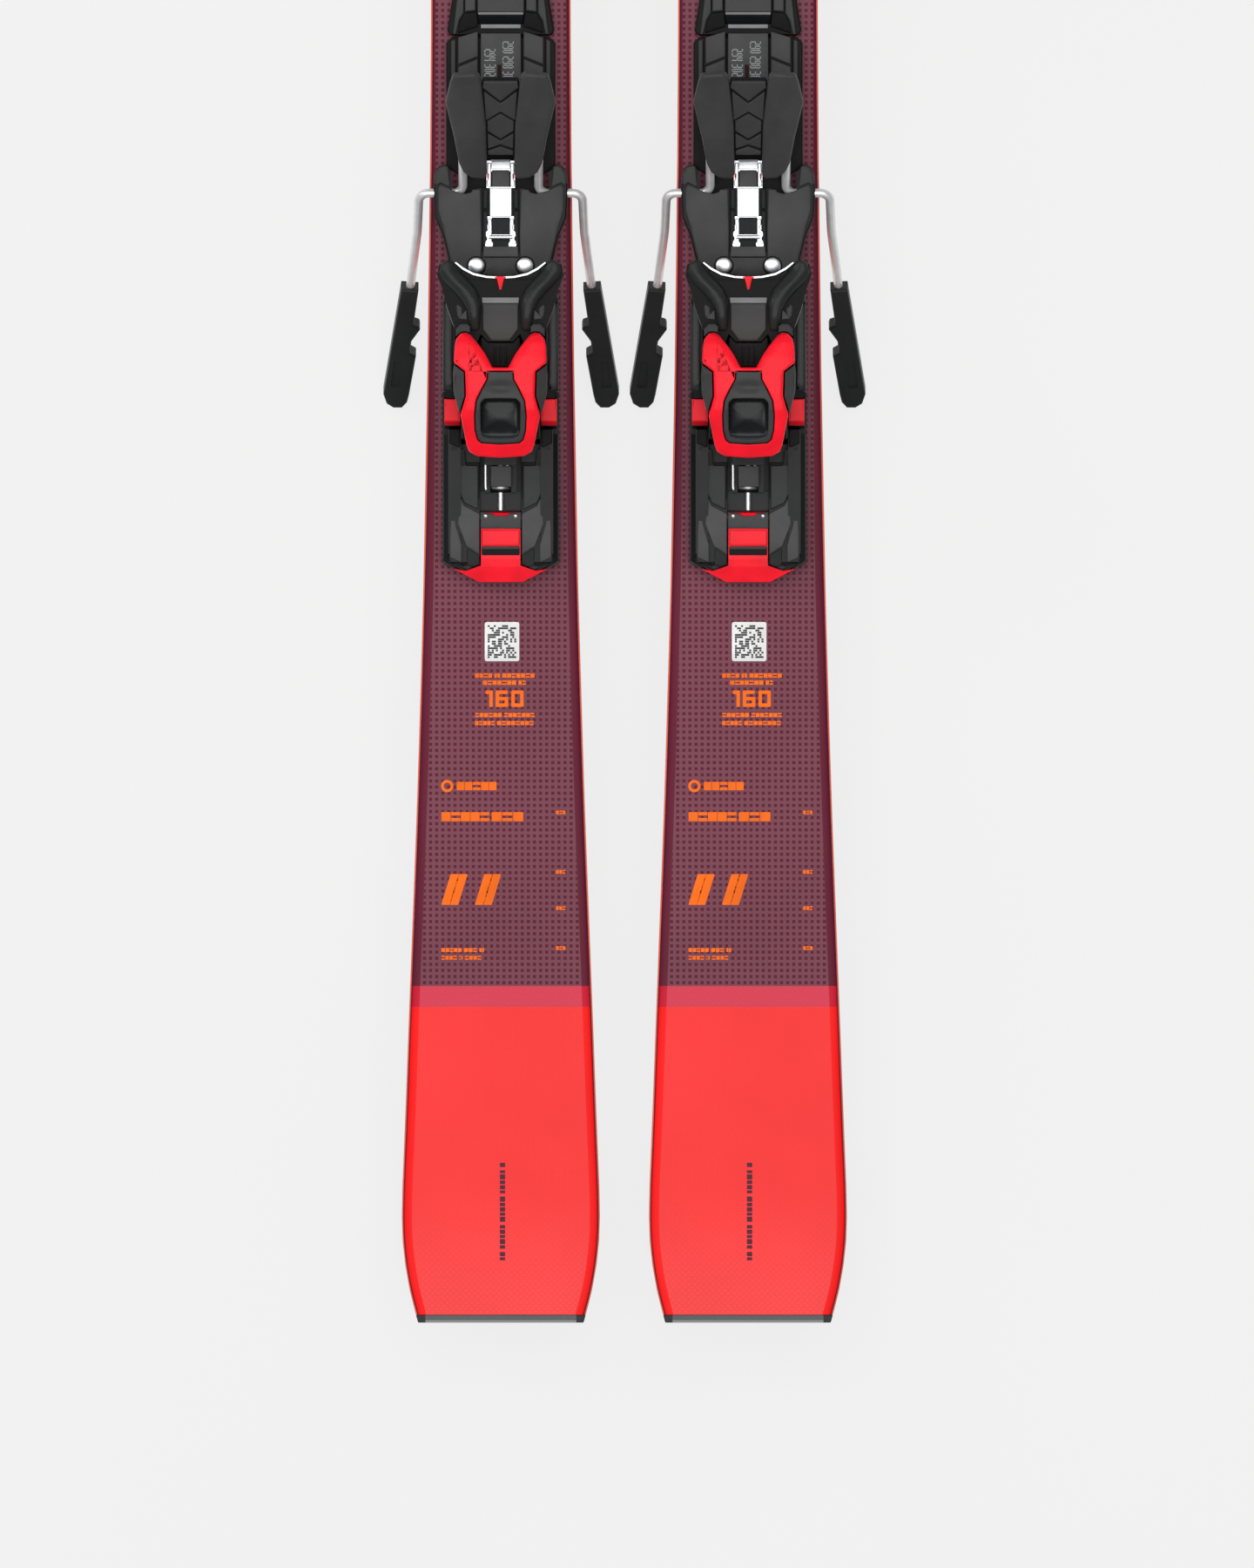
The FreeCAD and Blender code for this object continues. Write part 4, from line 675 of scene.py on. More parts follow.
SIDE_PTS = [(-757, 49.8), (-723, 48.75), (-670, 46.75), (-618, 44.75), (-566, 42.75), (-514, 41.0), (-462, 39.5), (-406, 38.15), (-340, 37.0), (-280, 36.15), (-215, 35.45), (-140, 35.05), (-40, 35.4), (60, 36.4), (160, 38.1), (260, 40.4), (360, 43.4), (460, 47.1), (540, 50.6), (610, 54.2), (668, 56.75)]
TAIL_PTS = [(-810, 41.6), (-801.5, 43.9), (-792, 46.2), (-781, 48.1), (-769, 49.4), (-757, 49.8)]
TIP_PTS = [(668, 56.75), (700, 56.1), (735, 52.6), (765, 45.3), (788, 34.5), (797, 26.5), (803, 19.0)]
_side = spline(*zip(*SIDE_PTS), 0.0, 0.0)
_tail = spline(*zip(*TAIL_PTS), None, 0.0)
_tip = spline(*zip(*TIP_PTS), 0.0, None)
TOP_REAR = [(-810, 11.4), (-790, 8.9), (-768, 5.9), (-742, 4.3), (-700, 4.7), (-640, 6.6), (-560, 9.9), (-490, 13.2), (-440, 15.0)]
TOP_FRONT = [(120, 15.0), (180, 13.4), (260, 11.0), (350, 8.4), (430, 6.3), (510, 4.9), (570, 4.4), (630, 5.3), (680, 9.4), (720, 17.0), (755, 27.9), (785, 40.5), (810, 52.2)]
_rear = spline(*zip(*TOP_REAR), None, 0.0)
_front = spline(*zip(*TOP_FRONT), 0.0, None)


def half_width(y):
    if y < -757:
        return _tail(y)
    if y > 668:
        return _tip(y)
    return _side(y)


def sheet_z(y):
    """Height of the top sheet's surface at y, from the level under the boot."""
    if y < -440:
        return _rear(y) - 15.0
    if y > 120:
        return _front(y) - 15.0
    return 0.0


def topsheet():
    ys = list(np.arange(-806.0, 792.9, 3.0)) + [793.0]
    prof = [(0.0, -2.2), (0.0, -1.35), (0.35, -0.95), (1.0, -0.62), (2.2, -0.3), (3.6, -0.08), (4.4, 0.0), (5.0, 0.0)]
    bm = bmesh.new()
    edge = bm.verts.layers.float.new("edge_mm")
    rows = []
    for y in ys:
        e = 0.5
        slope = (half_width(min(y + e, 793.0)) - half_width(max(y - e, -806.0))) / (min(y + e, 793.0) - max(y - e, -806.0))
        k = math.sqrt(1 + slope * slope)
        w = half_width(y) - 0.75 * k
        z = sheet_z(y)
        right = [(w - a * k, z + b, a) for a, b in prof]
        inner = [((w - 5.0 * k) * t, z, 5.0 + (w - 5.0 * k) * (1 - t)) for t in (0.75, 0.5, 0.25)]
        half = right + inner
        line = [(-x, zz, d) for x, zz, d in half] + [(0.0, z, w)] + [(x, zz, d) for x, zz, d in reversed(half)]
        row = []
        for x, zz, d in line:
            v = bm.verts.new((x, y, zz))
            v[edge] = d
            row.append(v)
        rows.append(row)
    n = len(rows[0])
    for a, b in zip(rows, rows[1:]):
        for i in range(n - 1):
            bm.faces.new((a[i], a[i + 1], b[i + 1], b[i]))
        bm.faces.new((a[n - 1], a[0], b[0], b[n - 1]))
    bm.faces.new(rows[0])
    bm.faces.new(rows[-1][::-1])
    return bm


place("topsheet_printed", topsheet(), "top", "ski", replaces=("topsheet",), limit=60)


# ------------------------------------------------------------------ printed marks: thin inlays that follow the sheet
def inlay(loops, lift=0.07, cell=2.0):
    return shell(loops, lambda x, y: sheet_z(y) + lift, lambda x, y: sheet_z(y) - 0.25, rnd=0.03, seg=1, cell=cell)


def bar(x0, x1, y0, y1, r=0.5):
    return soften([(x0, y0), (x1, y0), (x1, y1), (x0, y1)], r, 3)


def px_x(px):
    return (px - 575.0) * 0.4375


def px_y(py):
    return -145.66 - 0.4375 * py


def words(x0, x1, y, h, seed, gaps):
    """A line of print shown as plain blocks of different lengths."""
    cuts = sorted(gaps)
    out = []
    edges = [0.0] + cuts + [1.0]
    for a, b in zip(edges, edges[1:]):
        xa = x0 + (x1 - x0) * a + (0.45 if a else 0)
        xb = x0 + (x1 - x0) * b - (0.45 if b < 1 else 0)
        n = max(2, int(round((xb - xa) / (h * 1.05))))
        wch = (xb - xa) / n
        for i in range(n):
            xs, xe = xa + wch * i + 0.14, xa + wch * (i + 1) - 0.14
            if (i * 7 + seed) % 3:
                out.append(inlay([bar(xs, xe, y - h / 2, y + h / 2, 0.25)]))
            else:
                out.append(inlay([bar(xs, xe, y - h / 2, y - h / 2 + h * 0.36, 0.2)]))
                out.append(inlay([bar(xs, xe, y + h / 2 - h * 0.36, y + h / 2, 0.2)]))
    return out


def text_outline_number():
    """A round size figure, drawn as strokes."""
    top, bot = px_y(792.6), px_y(811.5)
    h = top - bot
    mid = (top + bot) / 2
    t = 1.75
    marks = []
    x = px_x(557.5)
    marks.append([(x, top), (x + 3.6, top), (x + 3.6, bot), (x + 3.6 - t, bot), (x + 3.6 - t, top - t), (x, top - t)])
    x = px_x(569.0)
    w = px_x(583.5) - x
    out = soften([(x, bot), (x + w, bot), (x + w, mid + t / 2), (x + t, mid + t / 2), (x + t, top - t), (x + w - 0.3, top - t), (x + w - 0.3, top), (x, top)], 0.55, 3)
    hole = soften([(x + t, bot + t), (x + w - t, bot + t), (x + w - t, mid - t / 2), (x + t, mid - t / 2)], 0.4, 3)
    six = [out, hole]
    x = px_x(587.0)
    w = px_x(601.2) - x
    ring = soften([(x, bot), (x + w, bot), (x + w, top), (x, top)], 0.7, 3)
    gap = soften([(x + t, bot + t), (x + w - t, bot + t), (x + w - t, top - t), (x + t, top - t)], 0.4, 3)
    return [inlay([soften(marks[0], 0.3, 2)]), inlay(six), inlay([ring, gap])]


orange = []
orange += words(px_x(545), px_x(614), px_y(775.5), 2.2, 1, [0.31, 0.44])
orange += words(px_x(554), px_x(604), px_y(783.6), 2.2, 2, [0.8])
orange += text_outline_number()
orange += words(px_x(545), px_x(614), px_y(820.8), 2.1, 0, [0.47])
orange += words(px_x(545), px_x(613), px_y(830.0), 2.1, 2, [0.36])
# a plain ring, a bar of blocks, and two slanted bars stand in for the printed marks
pe = px_y(902.3)
rc = (px_x(506.4) + px_x(520.5)) / 2
orange.append(inlay([[(rc + 3.1 * math.cos(i / 32 * math.tau), pe + 3.1 * math.sin(i / 32 * math.tau)) for i in range(32)], [(rc + 1.7 * math.cos(i / 32 * math.tau), pe + 1.7 * math.sin(i / 32 * math.tau)) for i in range(32)]]))
orange += words(px_x(524), px_x(570.4), pe, 4.2, 1, [])
orange += words(px_x(506.4), px_x(601), px_y(937.5), 4.6, 2, [0.6])
for x in (506.4, 545.0):
    xa, xb = px_x(x), px_x(x + 30.5)
    ya, yb = px_y(1038.8), px_y(1003.4)
    orange.append(inlay([soften([(xa, ya), (xa + 4.6, ya), (xa + 9.4, yb), (xa + 4.8, yb)], 0.4, 3)]))
    orange.append(inlay([soften([(xb - 9.4, ya), (xb - 4.8, ya), (xb, yb), (xb - 4.6, yb)], 0.4, 3)]))
orange += words(px_x(506.4), px_x(556), px_y(1090.7), 2.0, 1, [0.5, 0.86])
orange += words(px_x(506.4), px_x(552.7), px_y(1099.5), 2.0, 0, [0.42, 0.56])
for py in (932.6, 1000.9, 1042.6, 1088.5):
    orange += words(px_x(638), px_x(649.5), px_y(py), 1.9, int(py) % 3, [])
# the front half: three long slanted stripes and two lines of blocks
for k in range(3):
    y = 452.0 + k * 26.0
    orange.append(inlay([soften([(-30.0 + k * 4, y), (-18.0 + k * 4, y), (24.0, y + 34.0), (12.0, y + 34.0)], 0.6, 3)]))
orange += words(-34.0, -6.0, 420.0, 3.6, 1, [0.4])
orange += words(4.0, 34.0, 420.0, 3.6, 2, [0.5])
place("prints_orange", join(orange), "orange", "ski", limit=30)

# the white label with a generic screen of dots
ly0, ly1 = px_y(759), px_y(714)
lx0, lx1 = px_x(556.5), px_x(596.2)
place("label_white", inlay([soften([(lx0, ly0), (lx1, ly0), (lx1, ly1), (lx0, ly1)], 1.2, 4)], lift=0.09), "white", "ski", limit=30)
dots = []
code = 91
for j in range(15):
    y = ly1 - 1.5 - (ly1 - ly0 - 3.0) * (j + 0.5) / 15
    run = None
    for i in range(15):
        code = (code * 1103515245 + 12345) % 2147483648
        ink = i < 14 and (code >> 12) % 100 < 52
        x = lx0 + 1.5 + (lx1 - lx0 - 3.0) * i / 14
        if ink and run is None:
            run = x
        if not ink and run is not None:
            dots.append(inlay([bar(run, x, y - 0.47, y + 0.47, 0.12)], lift=0.14, cell=0))
            run = None
place("label_dots", join(dots), "mid", "ski", limit=30)

# small dark blocks in a row along the tail's centre line
blocks = []
y = px_y(1335)
k = 0
while y > px_y(1448):
    h = (2.2, 1.5, 2.6, 1.8)[k % 4]
    blocks.append(inlay([bar(px_x(573.8), px_x(579.9), y - h, y, 0.25)]))
    y -= h + (0.5 if k % 5 else 1.6)
    k += 1
place("tail_marks", join(blocks), "ink", "ski", limit=30)

# ------------------------------------------------------------------ CAD nodes that stay
dress("base_sheet", "base", 0)
dress("steel_edges", "edge", 0)
dress("wood_core", "wood", 0)
dress("sidewalls", "wall", 0)
dress("end_protectors", "cap", 0.5)
# the tracks sit lowest under the plates and take the deepest black as painted shade
dress("toe_track", "deep", 0.5)
dress("heel_track", "deep", 0.4)
dress("track_screws", "screw", 0.2)
dress("toe_housing", "gloss", 0.8)
dress("toe_jaw_left", "black", 0.7)
dress("toe_jaw_right", "black", 0.7)
dress("toe_jaw_pins", "pin", 0)
dress("toe_spring", "spring", 0)
dress("toe_release_screw", "alloy", 0.3)
dress("afd_plate", "afd", 0.3)
dress("heel_carriage", "carriage", 0.5)
dress("length_strap", "plate", 0)
dress("heel_axle", "gloss", 0.3)
dress("heel_spring", "spring", 0)
dress("heel_release_screw", "alloy", 0.3)
dress("size_lock_lever", "red", 0.5)
dress("brake_base", "dark", 0.5)
dress("brake_arm_left", "wire", 0)
dress("brake_arm_right", "wire", 0)
dress("brake_tip_left", "tip", 0.5)
dress("brake_tip_right", "tip", 0.5)
dress("heel_housing", "deep", 0.8)

# ------------------------------------------------------------------ step-out lever
LEVER_TOP = line_z([(-312.0, 62.5), (-314.5, 65.2), (-318.0, 67.4), (-326.0, 69.4), (-334.0, 70.2), (-343.0, 70.0), (-352.0, 68.2), (-362.0, 64.2), (-370.0, 60.2), (-376.5, 56.2)])


def notch_x(y):
    """Half width of the V between the horns."""
    return float(np.interp(y, [-331.4, -330.8, -324.3, -319.7, -315.4, -313.4], [0.0, 3.9, 7.4, 10.6, 14.2, 16.8]))


def lever_z(x, y):
    a = abs(x)
    z = LEVER_TOP(x, y)
    if y > -335:
        f = min(1.0, (y + 335) / 10)
        z -= 0.016 * max(0.0, a - 14.0) ** 2 * f
        # a broad chamfer runs along the V
        d = a - notch_x(y)
        z -= 0.62 * max(0.0, 3.4 - d) * f
    else:
        z -= 0.12 * max(0.0, a - 14.5)
    if y < -366.5:
        z -= 0.05 * (a / 16.0) ** 2 * (-366.5 - y)
    return z


outer = mirrored([(0, -331.0), (3.9, -331.0, 0.6), (7.4, -324.4, 3.0), (10.6, -319.8, 3.0), (14.6, -314.9, 1.6), (17.0, -313.4, 1.6), (19.6, -313.8, 1.6), (22.2, -316.9, 2.4), (22.9, -320.8, 2.0), (23.2, -327.6, 0.6), (22.8, -328.8, 0.4), (17.6, -333.0, 0.6), (17.2, -345.2, 2.0), (19.9, -354.9, 1.0), (17.0, -369.6, 3.0), (15.6, -373.2, 2.6), (11.6, -375.3, 3.0), (0, -376.1)])
neck = mirrored([(0, -332.7), (6.6, -332.7, 0.5), (6.9, -337.0, 2.0), (9.6, -341.8, 2.5), (12.4, -347.6, 3.0), (13.2, -355.0, 3.0), (12.9, -362.3, 2.5), (11.7, -367.2, 2.2), (9.5, -369.0, 1.6), (0, -369.6)])
well = mirrored([(0, -346.4), (7.8, -346.6, 1.6), (10.0, -348.6, 2.4), (9.9, -362.0, 3.0), (8.9, -365.6, 2.2), (6.0, -366.8, 1.5), (0, -367.0)])
red_outer = soften(outer, 1.2, 5)
red_hole = soften(neck, 1.5, 5)
place("lever_red", shell([red_outer, red_hole], lever_z, 52.9, rnd=[1.0, 0.35], seg=4, cell=1.3), "red", "heel_lever", replaces=("heel_lever",), limit=50)


def insert_z(x, y):
    z = LEVER_TOP(x, y) - 1.0
    if y > -347.5:
        z -= 2.4 * math.exp(-((y + 341.0) / 2.6) ** 2) * math.exp(-(x / 7.0) ** 2)
    return z


place("lever_insert", shell([inward(ccw(soften(neck, 1.5, 5)), 0.45), soften(well, 1.5, 5)], insert_z, 53.4, rnd=[0.5, 0.5], seg=3, cell=1.3), "mid", "heel_lever", limit=50)


def basin():
    loop = ccw(soften(well, 1.5, 5))
    bm = bmesh.new()
    rows = []
    steps = 9
    cy = -356.8

    def floor_z(px, py):
        return 55.8 + 6.2 * max(0.0, (-(py + 355.0)) / 11.0) ** 1.5 + 0.012 * px * px

    for k in range(steps + 1):
        t = k / steps
        s = 1.0 - 0.20 * t ** 2
        row = []
        for x, y in loop:
            px, py = x * s, cy + (y - cy) * s
            lip = LEVER_TOP(px, py) - 1.5
            z = lip + (min(floor_z(px, py), lip - 0.4) - lip) * math.sin(t * math.pi / 2) ** 0.8
            row.append(bm.verts.new((px, py, z)))
        rows.append(row)
    n = len(loop)
    for a, b in zip(rows, rows[1:]):
        for i in range(n):
            j = (i + 1) % n
            bm.faces.new((a[i], a[j], b[j], b[i]))
    last = rows[-1]
    for k in (0.75, 0.5, 0.25):
        row = []
        for v in rows[-1]:
            px, py = v.co.x * k, cy + (v.co.y - cy) * k
            row.append(bm.verts.new((px, py, floor_z(px, py))))
        for i in range(n):
            j = (i + 1) % n
            bm.faces.new((last[i], last[j], row[j], row[i]))
        last = row
    c = bm.verts.new((0, cy, floor_z(0, cy)))
    for i in range(n):
        bm.faces.new((last[i], last[(i + 1) % n], c))
    low = [bm.verts.new((x, y, 53.4)) for x, y in loop]
    for i in range(n):
        j = (i + 1) % n
        bm.faces.new((low[j], low[i], rows[0][i], rows[0][j]))
    bm.faces.new(low)
    return bm


place("lever_basin", basin(), "gloss", "heel_lever", limit=70)
flank = [(23.2, -329.6), (23.7, -334.0, 2.0), (23.4, -343.0, 2.0), (20.7, -354.2, 0.6), (17.9, -345.4, 1.5), (18.2, -333.4, 0.5)]
place("lever_flanks", join([shell([flipped(soften(flank, 0.5, 3), s)], lambda x, y: lever_z(x, y) - 1.8 - 0.75 * max(0.0, abs(x) - 18.6), 44.0, rnd=0.6, seg=3, cell=1.6) for s in (1, -1)]), "mid", "heel_lever", limit=30)
pivots = []
for s in (1, -1):
    pivots.append(shell([flipped(soften([(20.1, -332.0), (22.4, -332.0), (22.4, -347.0), (20.1, -347.0)], 0.6, 3), s)], line_z([(-347.5, 53.0), (-331.5, 53.0)]), line_z([(-347.5, 43.5), (-341.0, 38.5), (-335.0, 38.5), (-331.5, 42.0)]), rnd=0.6, seg=2, cell=2.0))
place("lever_cheeks", join(pivots), "red_dark", "heel_lever", limit=40)
trun = [tube([(s * 15.2, -338.0, 44.0), (s * 20.0, -338.0, 44.0)], 2.5, 24) for s in (1, -1)]
place("lever_trunnions", join(trun), "gloss", "heel_lever", limit=40)

# ------------------------------------------------------------------ heel cup and housing details
arm = [(23.2, -278.0, 1.0), (26.4, -276.6, 1.6), (29.6, -278.6, 2.0), (31.4, -283.6, 2.0), (30.2, -287.0, 2.0), (27.6, -289.4, 3.0), (23.0, -293.4, 4.0), (19.2, -297.6, 4.0), (16.6, -302.6, 4.0), (15.8, -308.6, 2.0), (15.6, -312.6), (10.6, -312.6), (10.2, -307.0, 3.0), (9.9, -300.0, 4.0), (10.6, -295.2, 4.0), (12.6, -290.6, 4.0), (16.6, -285.6, 4.0), (20.4, -281.0, 3.0)]


def arm_mid(y):
    """Where the crest of the arm runs."""
    return float(np.interp(y, [-313, -308, -302, -297, -292, -287, -282, -277], [13.0, 13.0, 13.3, 14.6, 18.0, 22.8, 26.6, 27.4]))


def arm_z(x, y):
    z = float(np.interp(y, [-313, -306, -298, -290, -283, -277], [54.6, 57.6, 58.6, 57.6, 55.8, 54.4]))
    return z - 0.16 * (abs(x) - arm_mid(y)) ** 2 * 0.55


place("cup_arms", join([shell([flipped(soften(arm, 2.0, 5), s)], arm_z, 44.0, rnd=1.4, seg=4, cell=1.4) for s in (1, -1)]), "satin", "heel_piece", limit=60)
front = [(0, -286.3), (7.0, -285.9), (13.5, -284.5), (18.4, -281.8), (20.4, -280.6), (20.0, -284.0, 1.0), (16.6, -288.0, 2.0), (13.0, -292.0, 2.0), (11.6, -293.6, 1.0), (0, -293.8)]
place("cup_front", shell([soften(mirrored(front), 0.8, 4)], line_z([(-294.0, 51.4), (-289.0, 52.4), (-286.2, 53.3), (-280.0, 53.6)]), 38.0, rnd=0.8, seg=4, cell=1.6), "deep", "heel_piece", limit=50)
lip = [(0, -285.3), (7.0, -284.9), (13.5, -283.4), (18.6, -280.7), (22.2, -277.9), (23.0, -278.5), (19.0, -281.9), (13.7, -284.7), (7.0, -286.1), (0, -286.5)]
place("cup_lip", shell([mirrored(lip)], lambda x, y: 53.6 + 0.002 * x * x, 51.2, rnd=0.25, seg=2, cell=2.0), "plate", "heel_piece", limit=50)
place("cup_pointer", shell([soften([(-3.4, -285.6), (-1.7, -286.6), (-0.5, -291.8), (0.5, -291.8), (1.7, -286.6), (3.4, -285.6), (0, -285.2)], 0.25, 3)], line_z([(-292, 53.2), (-285, 54.2)]), 51.0, rnd=0.2, seg=2, cell=0), "red", "heel_piece")
ramp = mirrored([(0, -295.6), (9.7, -295.6, 0.5), (9.3, -298.6, 0.5), (8.8, -300.0, 0.5), (8.7, -311.8, 0.5), (4.6, -317.3, 1.0), (0, -317.4)])
place("housing_ramp", shell([soften(ramp, 0.5, 3)], line_z([(-318.5, 53.2), (-316.0, 53.8), (-300.0, 55.2), (-299.0, 54.9), (-295.2, 52.4)]), 44.0, rnd=0.4, seg=3, cell=1.2), "mid", "heel_piece", limit=24)
# a pale strip along the ramp's front bevel: painted highlight
ledge = mirrored([(0, -295.8), (9.3, -295.8, 0.4), (9.0, -298.5, 0.4), (0, -298.5)])
place("ramp_edge", shell([soften(ledge, 0.3, 3)], line_z([(-299.0, 55.15), (-295.2, 52.75)]), 50.0, rnd=0.2, seg=2, cell=1.2), "light", "heel_piece", limit=24)
caps, pods, tri = [], [], []
for s in (1, -1):
    pod = [(17.6, -300.6), (20.4, -296.6, 2.0), (25.0, -291.6, 2.0), (28.0, -291.4, 2.0), (27.2, -300.0, 4.0), (24.4, -308.4, 3.0), (22.6, -312.0, 1.0), (20.2, -308.4, 1.0), (17.2, -306.8, 0.6)]
    pods.append(shell([flipped(soften(pod, 2.0, 5), s)], lambda x, y: float(np.interp(y, [-312, -306, -300, -292], [50.4, 53.0, 53.4, 49.4])) - 0.09 * max(0.0, abs(x) - 20.5) ** 2, 37.6, rnd=2.2, seg=5, cell=1.4))
    caps.append(shell([flipped(soften([(16.6, -309.0), (20.0, -309.0, 1.0), (22.2, -311.6, 1.2), (22.3, -315.6, 0.4), (19.6, -313.1, 1.2), (17.2, -312.9, 1.2), (15.2, -313.6, 0.4), (15.0, -310.4, 1.0)], 0.4, 4), s)], line_z([(-316.0, 60.2), (-309.0, 58.6)]), 50.0, rnd=0.5, seg=3, cell=1.4))
    tri.append(shell([flipped(soften([(16.9, -301.8), (21.2, -306.4), (16.7, -306.9)], 0.3, 3), s)], line_z([(-307.0, 54.0), (-301.0, 54.4)]), 50.0, rnd=0.3, seg=2, cell=1.4))
place("housing_shoulders", join(pods), "gloss", "heel_piece", limit=70)
place("housing_horn_stops", join(caps), "black", "heel_piece", limit=30)
place("housing_gussets", join(tri), "mid", "heel_piece", limit=30)
# a dark plate in the recess between the horns: painted shade of the recess; the ribs on it share the same black
hollow = mirrored([(0, -318.4), (6.2, -318.4, 1.0), (9.6, -314.6, 1.0), (10.2, -321.0, 1.0), (6.6, -330.5, 1.0), (0, -330.5)])
place("housing_hollow_shade", shell([soften(hollow, 0.6, 3)], line_z([(-331, 50.6), (-318, 51.4)]), 48.0, rnd=0.4, seg=2, cell=2.0), "deep", "heel_piece", limit=40)
ribs = [shell([bar(-0.6 + k * 2.6, 0.6 + k * 2.6, -328.6, -320.4, 0.4)], line_z([(-331, 51.5), (-318, 52.3)]), 49.0, rnd=0.3, seg=2, cell=2.0) for k in (-1, 0, 1)]
place("housing_ribs", join(ribs), "deep", "heel_piece", limit=40)

# ------------------------------------------------------------------ carriage: side rails and rear deck
rails, hoods = [], []
for s in (1, -1):
    rail = [(23.0, -291.4), (28.0, -290.4, 1.0), (28.9, -296.0, 2.0), (29.2, -343.0, 0.6), (23.6, -343.0, 0.6), (23.0, -338.0, 1.5)]
    rails.append(shell([flipped(soften(rail, 1.0, 4), s)], lambda x, y: float(np.interp(y, [-343.4, -338, -300, -293, -289], [31.6, 33.2, 33.4, 30.0, 25.0])) - 0.06 * (abs(x) - 25.6) ** 2, 11.5, rnd=1.2, seg=4, cell=2.0))
place("carriage_rails", join(rails), "gloss", "heel_carriage", limit=60)
cheeks, lines, wedges, tails, decks, ears, seams, bevels = [], [], [], [], [], [], [], []
for s in (1, -1):
    # outer cheek
    side_plate = [(25.5, -383.0, 1.0), (25.5, -425.6, 0.6), (19.6, -428.4, 0.6), (19.5, -419.6, 0.6), (22.5, -409.4, 1.5), (22.2, -394.2, 1.5)]
    cheeks.append(shell([flipped(soften(side_plate, 1.0, 4), s)], lambda x, y: float(np.interp(y, [-431, -424, -400, -380, -363], [13.4, 14.9, 17.8, 20.0, 20.6])) - 0.9 * max(0.0, abs(x) - 26.6), 9.5, rnd=0.6, seg=3, cell=1.8))
    # a dark ground under the seams so that they show dark, and the bevelled rim outside in a darker tone: both painted
    # shade
    ground = [(10.4, -378.0), (26.4, -378.0, 0.6), (26.4, -427.4, 0.5), (18.6, -430.2, 0.5), (10.4, -427.6, 0.5)]
    seams.append(shell([flipped(soften(ground, 0.4, 3), s)], line_z([(-431, 11.0), (-424, 12.4), (-400, 15.4), (-378, 16.6)]), 9.5, rnd=0.3, seg=2, cell=3.0))
    rim = [(25.9, -364.0), (29.1, -364.0, 0.5), (29.2, -427.0, 0.8), (19.0, -433.4, 0.8), (17.0, -431.6, 0.5), (25.2, -428.2, 0.8), (25.9, -426.0, 0.8)]
    bevels.append(shell([flipped(soften(rim, 0.6, 4), s)], lambda x, y: float(np.interp(y, [-434, -424, -400, -380, -363], [11.6, 14.4, 17.2, 19.4, 20.0])) - 0.75 * max(0.0, abs(x) - 26.0), 10.4, rnd=0.6, seg=3, cell=1.6))
    # inner deck plate that narrows to the rear
    inner_plate = [(10.6, -403.8, 0.3), (18.3, -399.8, 0.6), (20.6, -395.2, 0.6), (21.5, -408.8, 1.5), (17.2, -420.0, 0.8), (10.6, -424.2, 0.4)]
    wedges.append(shell([flipped(soften(inner_plate, 0.6, 4), s)], line_z([(-425, 15.2), (-420, 16.4), (-404, 17.4), (-395, 17.6)]), 11.0, rnd=0.4, seg=3, cell=2.0))
    tails.append(shell([flipped(soften([(10.6, -425.2, 0.3), (16.9, -421.2, 0.4), (16.9, -429.4, 0.6), (14.4, -430.6, 0.5), (10.6, -429.2, 0.6)], 0.4, 3), s)], line_z([(-431.5, 11.6), (-421, 14.6)]), 9.6, rnd=0.4, seg=3, cell=2.0))
    # side deck ahead of it, with a seam by the ears
    decks.append(shell([flipped(soften([(11.2, -379.6), (17.4, -379.6), (18.2, -372.0, 1.0), (24.9, -369.8, 1.0), (24.9, -380.4, 1.0), (20.8, -393.2, 1.0), (18.0, -398.6, 0.6), (11.2, -401.8, 0.4)], 0.5, 3), s)], lambda x, y: float(np.interp(y, [-404, -380, -369], [16.4, 17.6, 21.5])) + 0.04 * (abs(x) - 11.0), 11.0, rnd=0.5, seg=3, cell=1.8))
    lines.append(shell([flipped(soften([(20.3, -361.4), (25.8, -361.4, 0.6), (25.8, -368.6, 1.0), (20.3, -371.0, 1.0)], 0.5, 3), s)], line_z([(-371.0, 21.4), (-361.4, 22.4)]), 11.0, rnd=0.5, seg=3, cell=1.8))
    # red faces of the axle ears; before them a dark block paints the shade in the notch
    ears.append(shell([flipped(soften([(20.7, -346.6), (27.8, -346.6, 0.4), (27.8, -358.6, 0.8), (20.7, -358.9, 0.8)], 0.4, 3), s)], line_z([(-359.0, 27.6), (-357.0, 32.6), (-346.0, 32.7)]), 21.4, rnd=0.5, seg=3, cell=1.8))
place("carriage_cheeks", join(cheeks), "grey", "heel_carriage", limit=24)
# painted shade in the seams
place("carriage_seam_shade", join(seams), "deep", "heel_carriage", limit=24)
# painted shade on the outer bevel
place("carriage_bevel_shade", join(bevels), "dark", "heel_carriage", limit=24)
place("carriage_deck_plates", join(wedges), "grey", "heel_carriage", limit=30)
place("carriage_tails", join(tails), "satin", "heel_carriage", limit=30)
place("carriage_side_decks", join(decks), "satin", "heel_carriage", limit=30)
place("carriage_side_caps", join(lines), "deep", "heel_carriage", limit=30)
place("axle_ear_faces", join(ears), "red", "heel_carriage", limit=30)
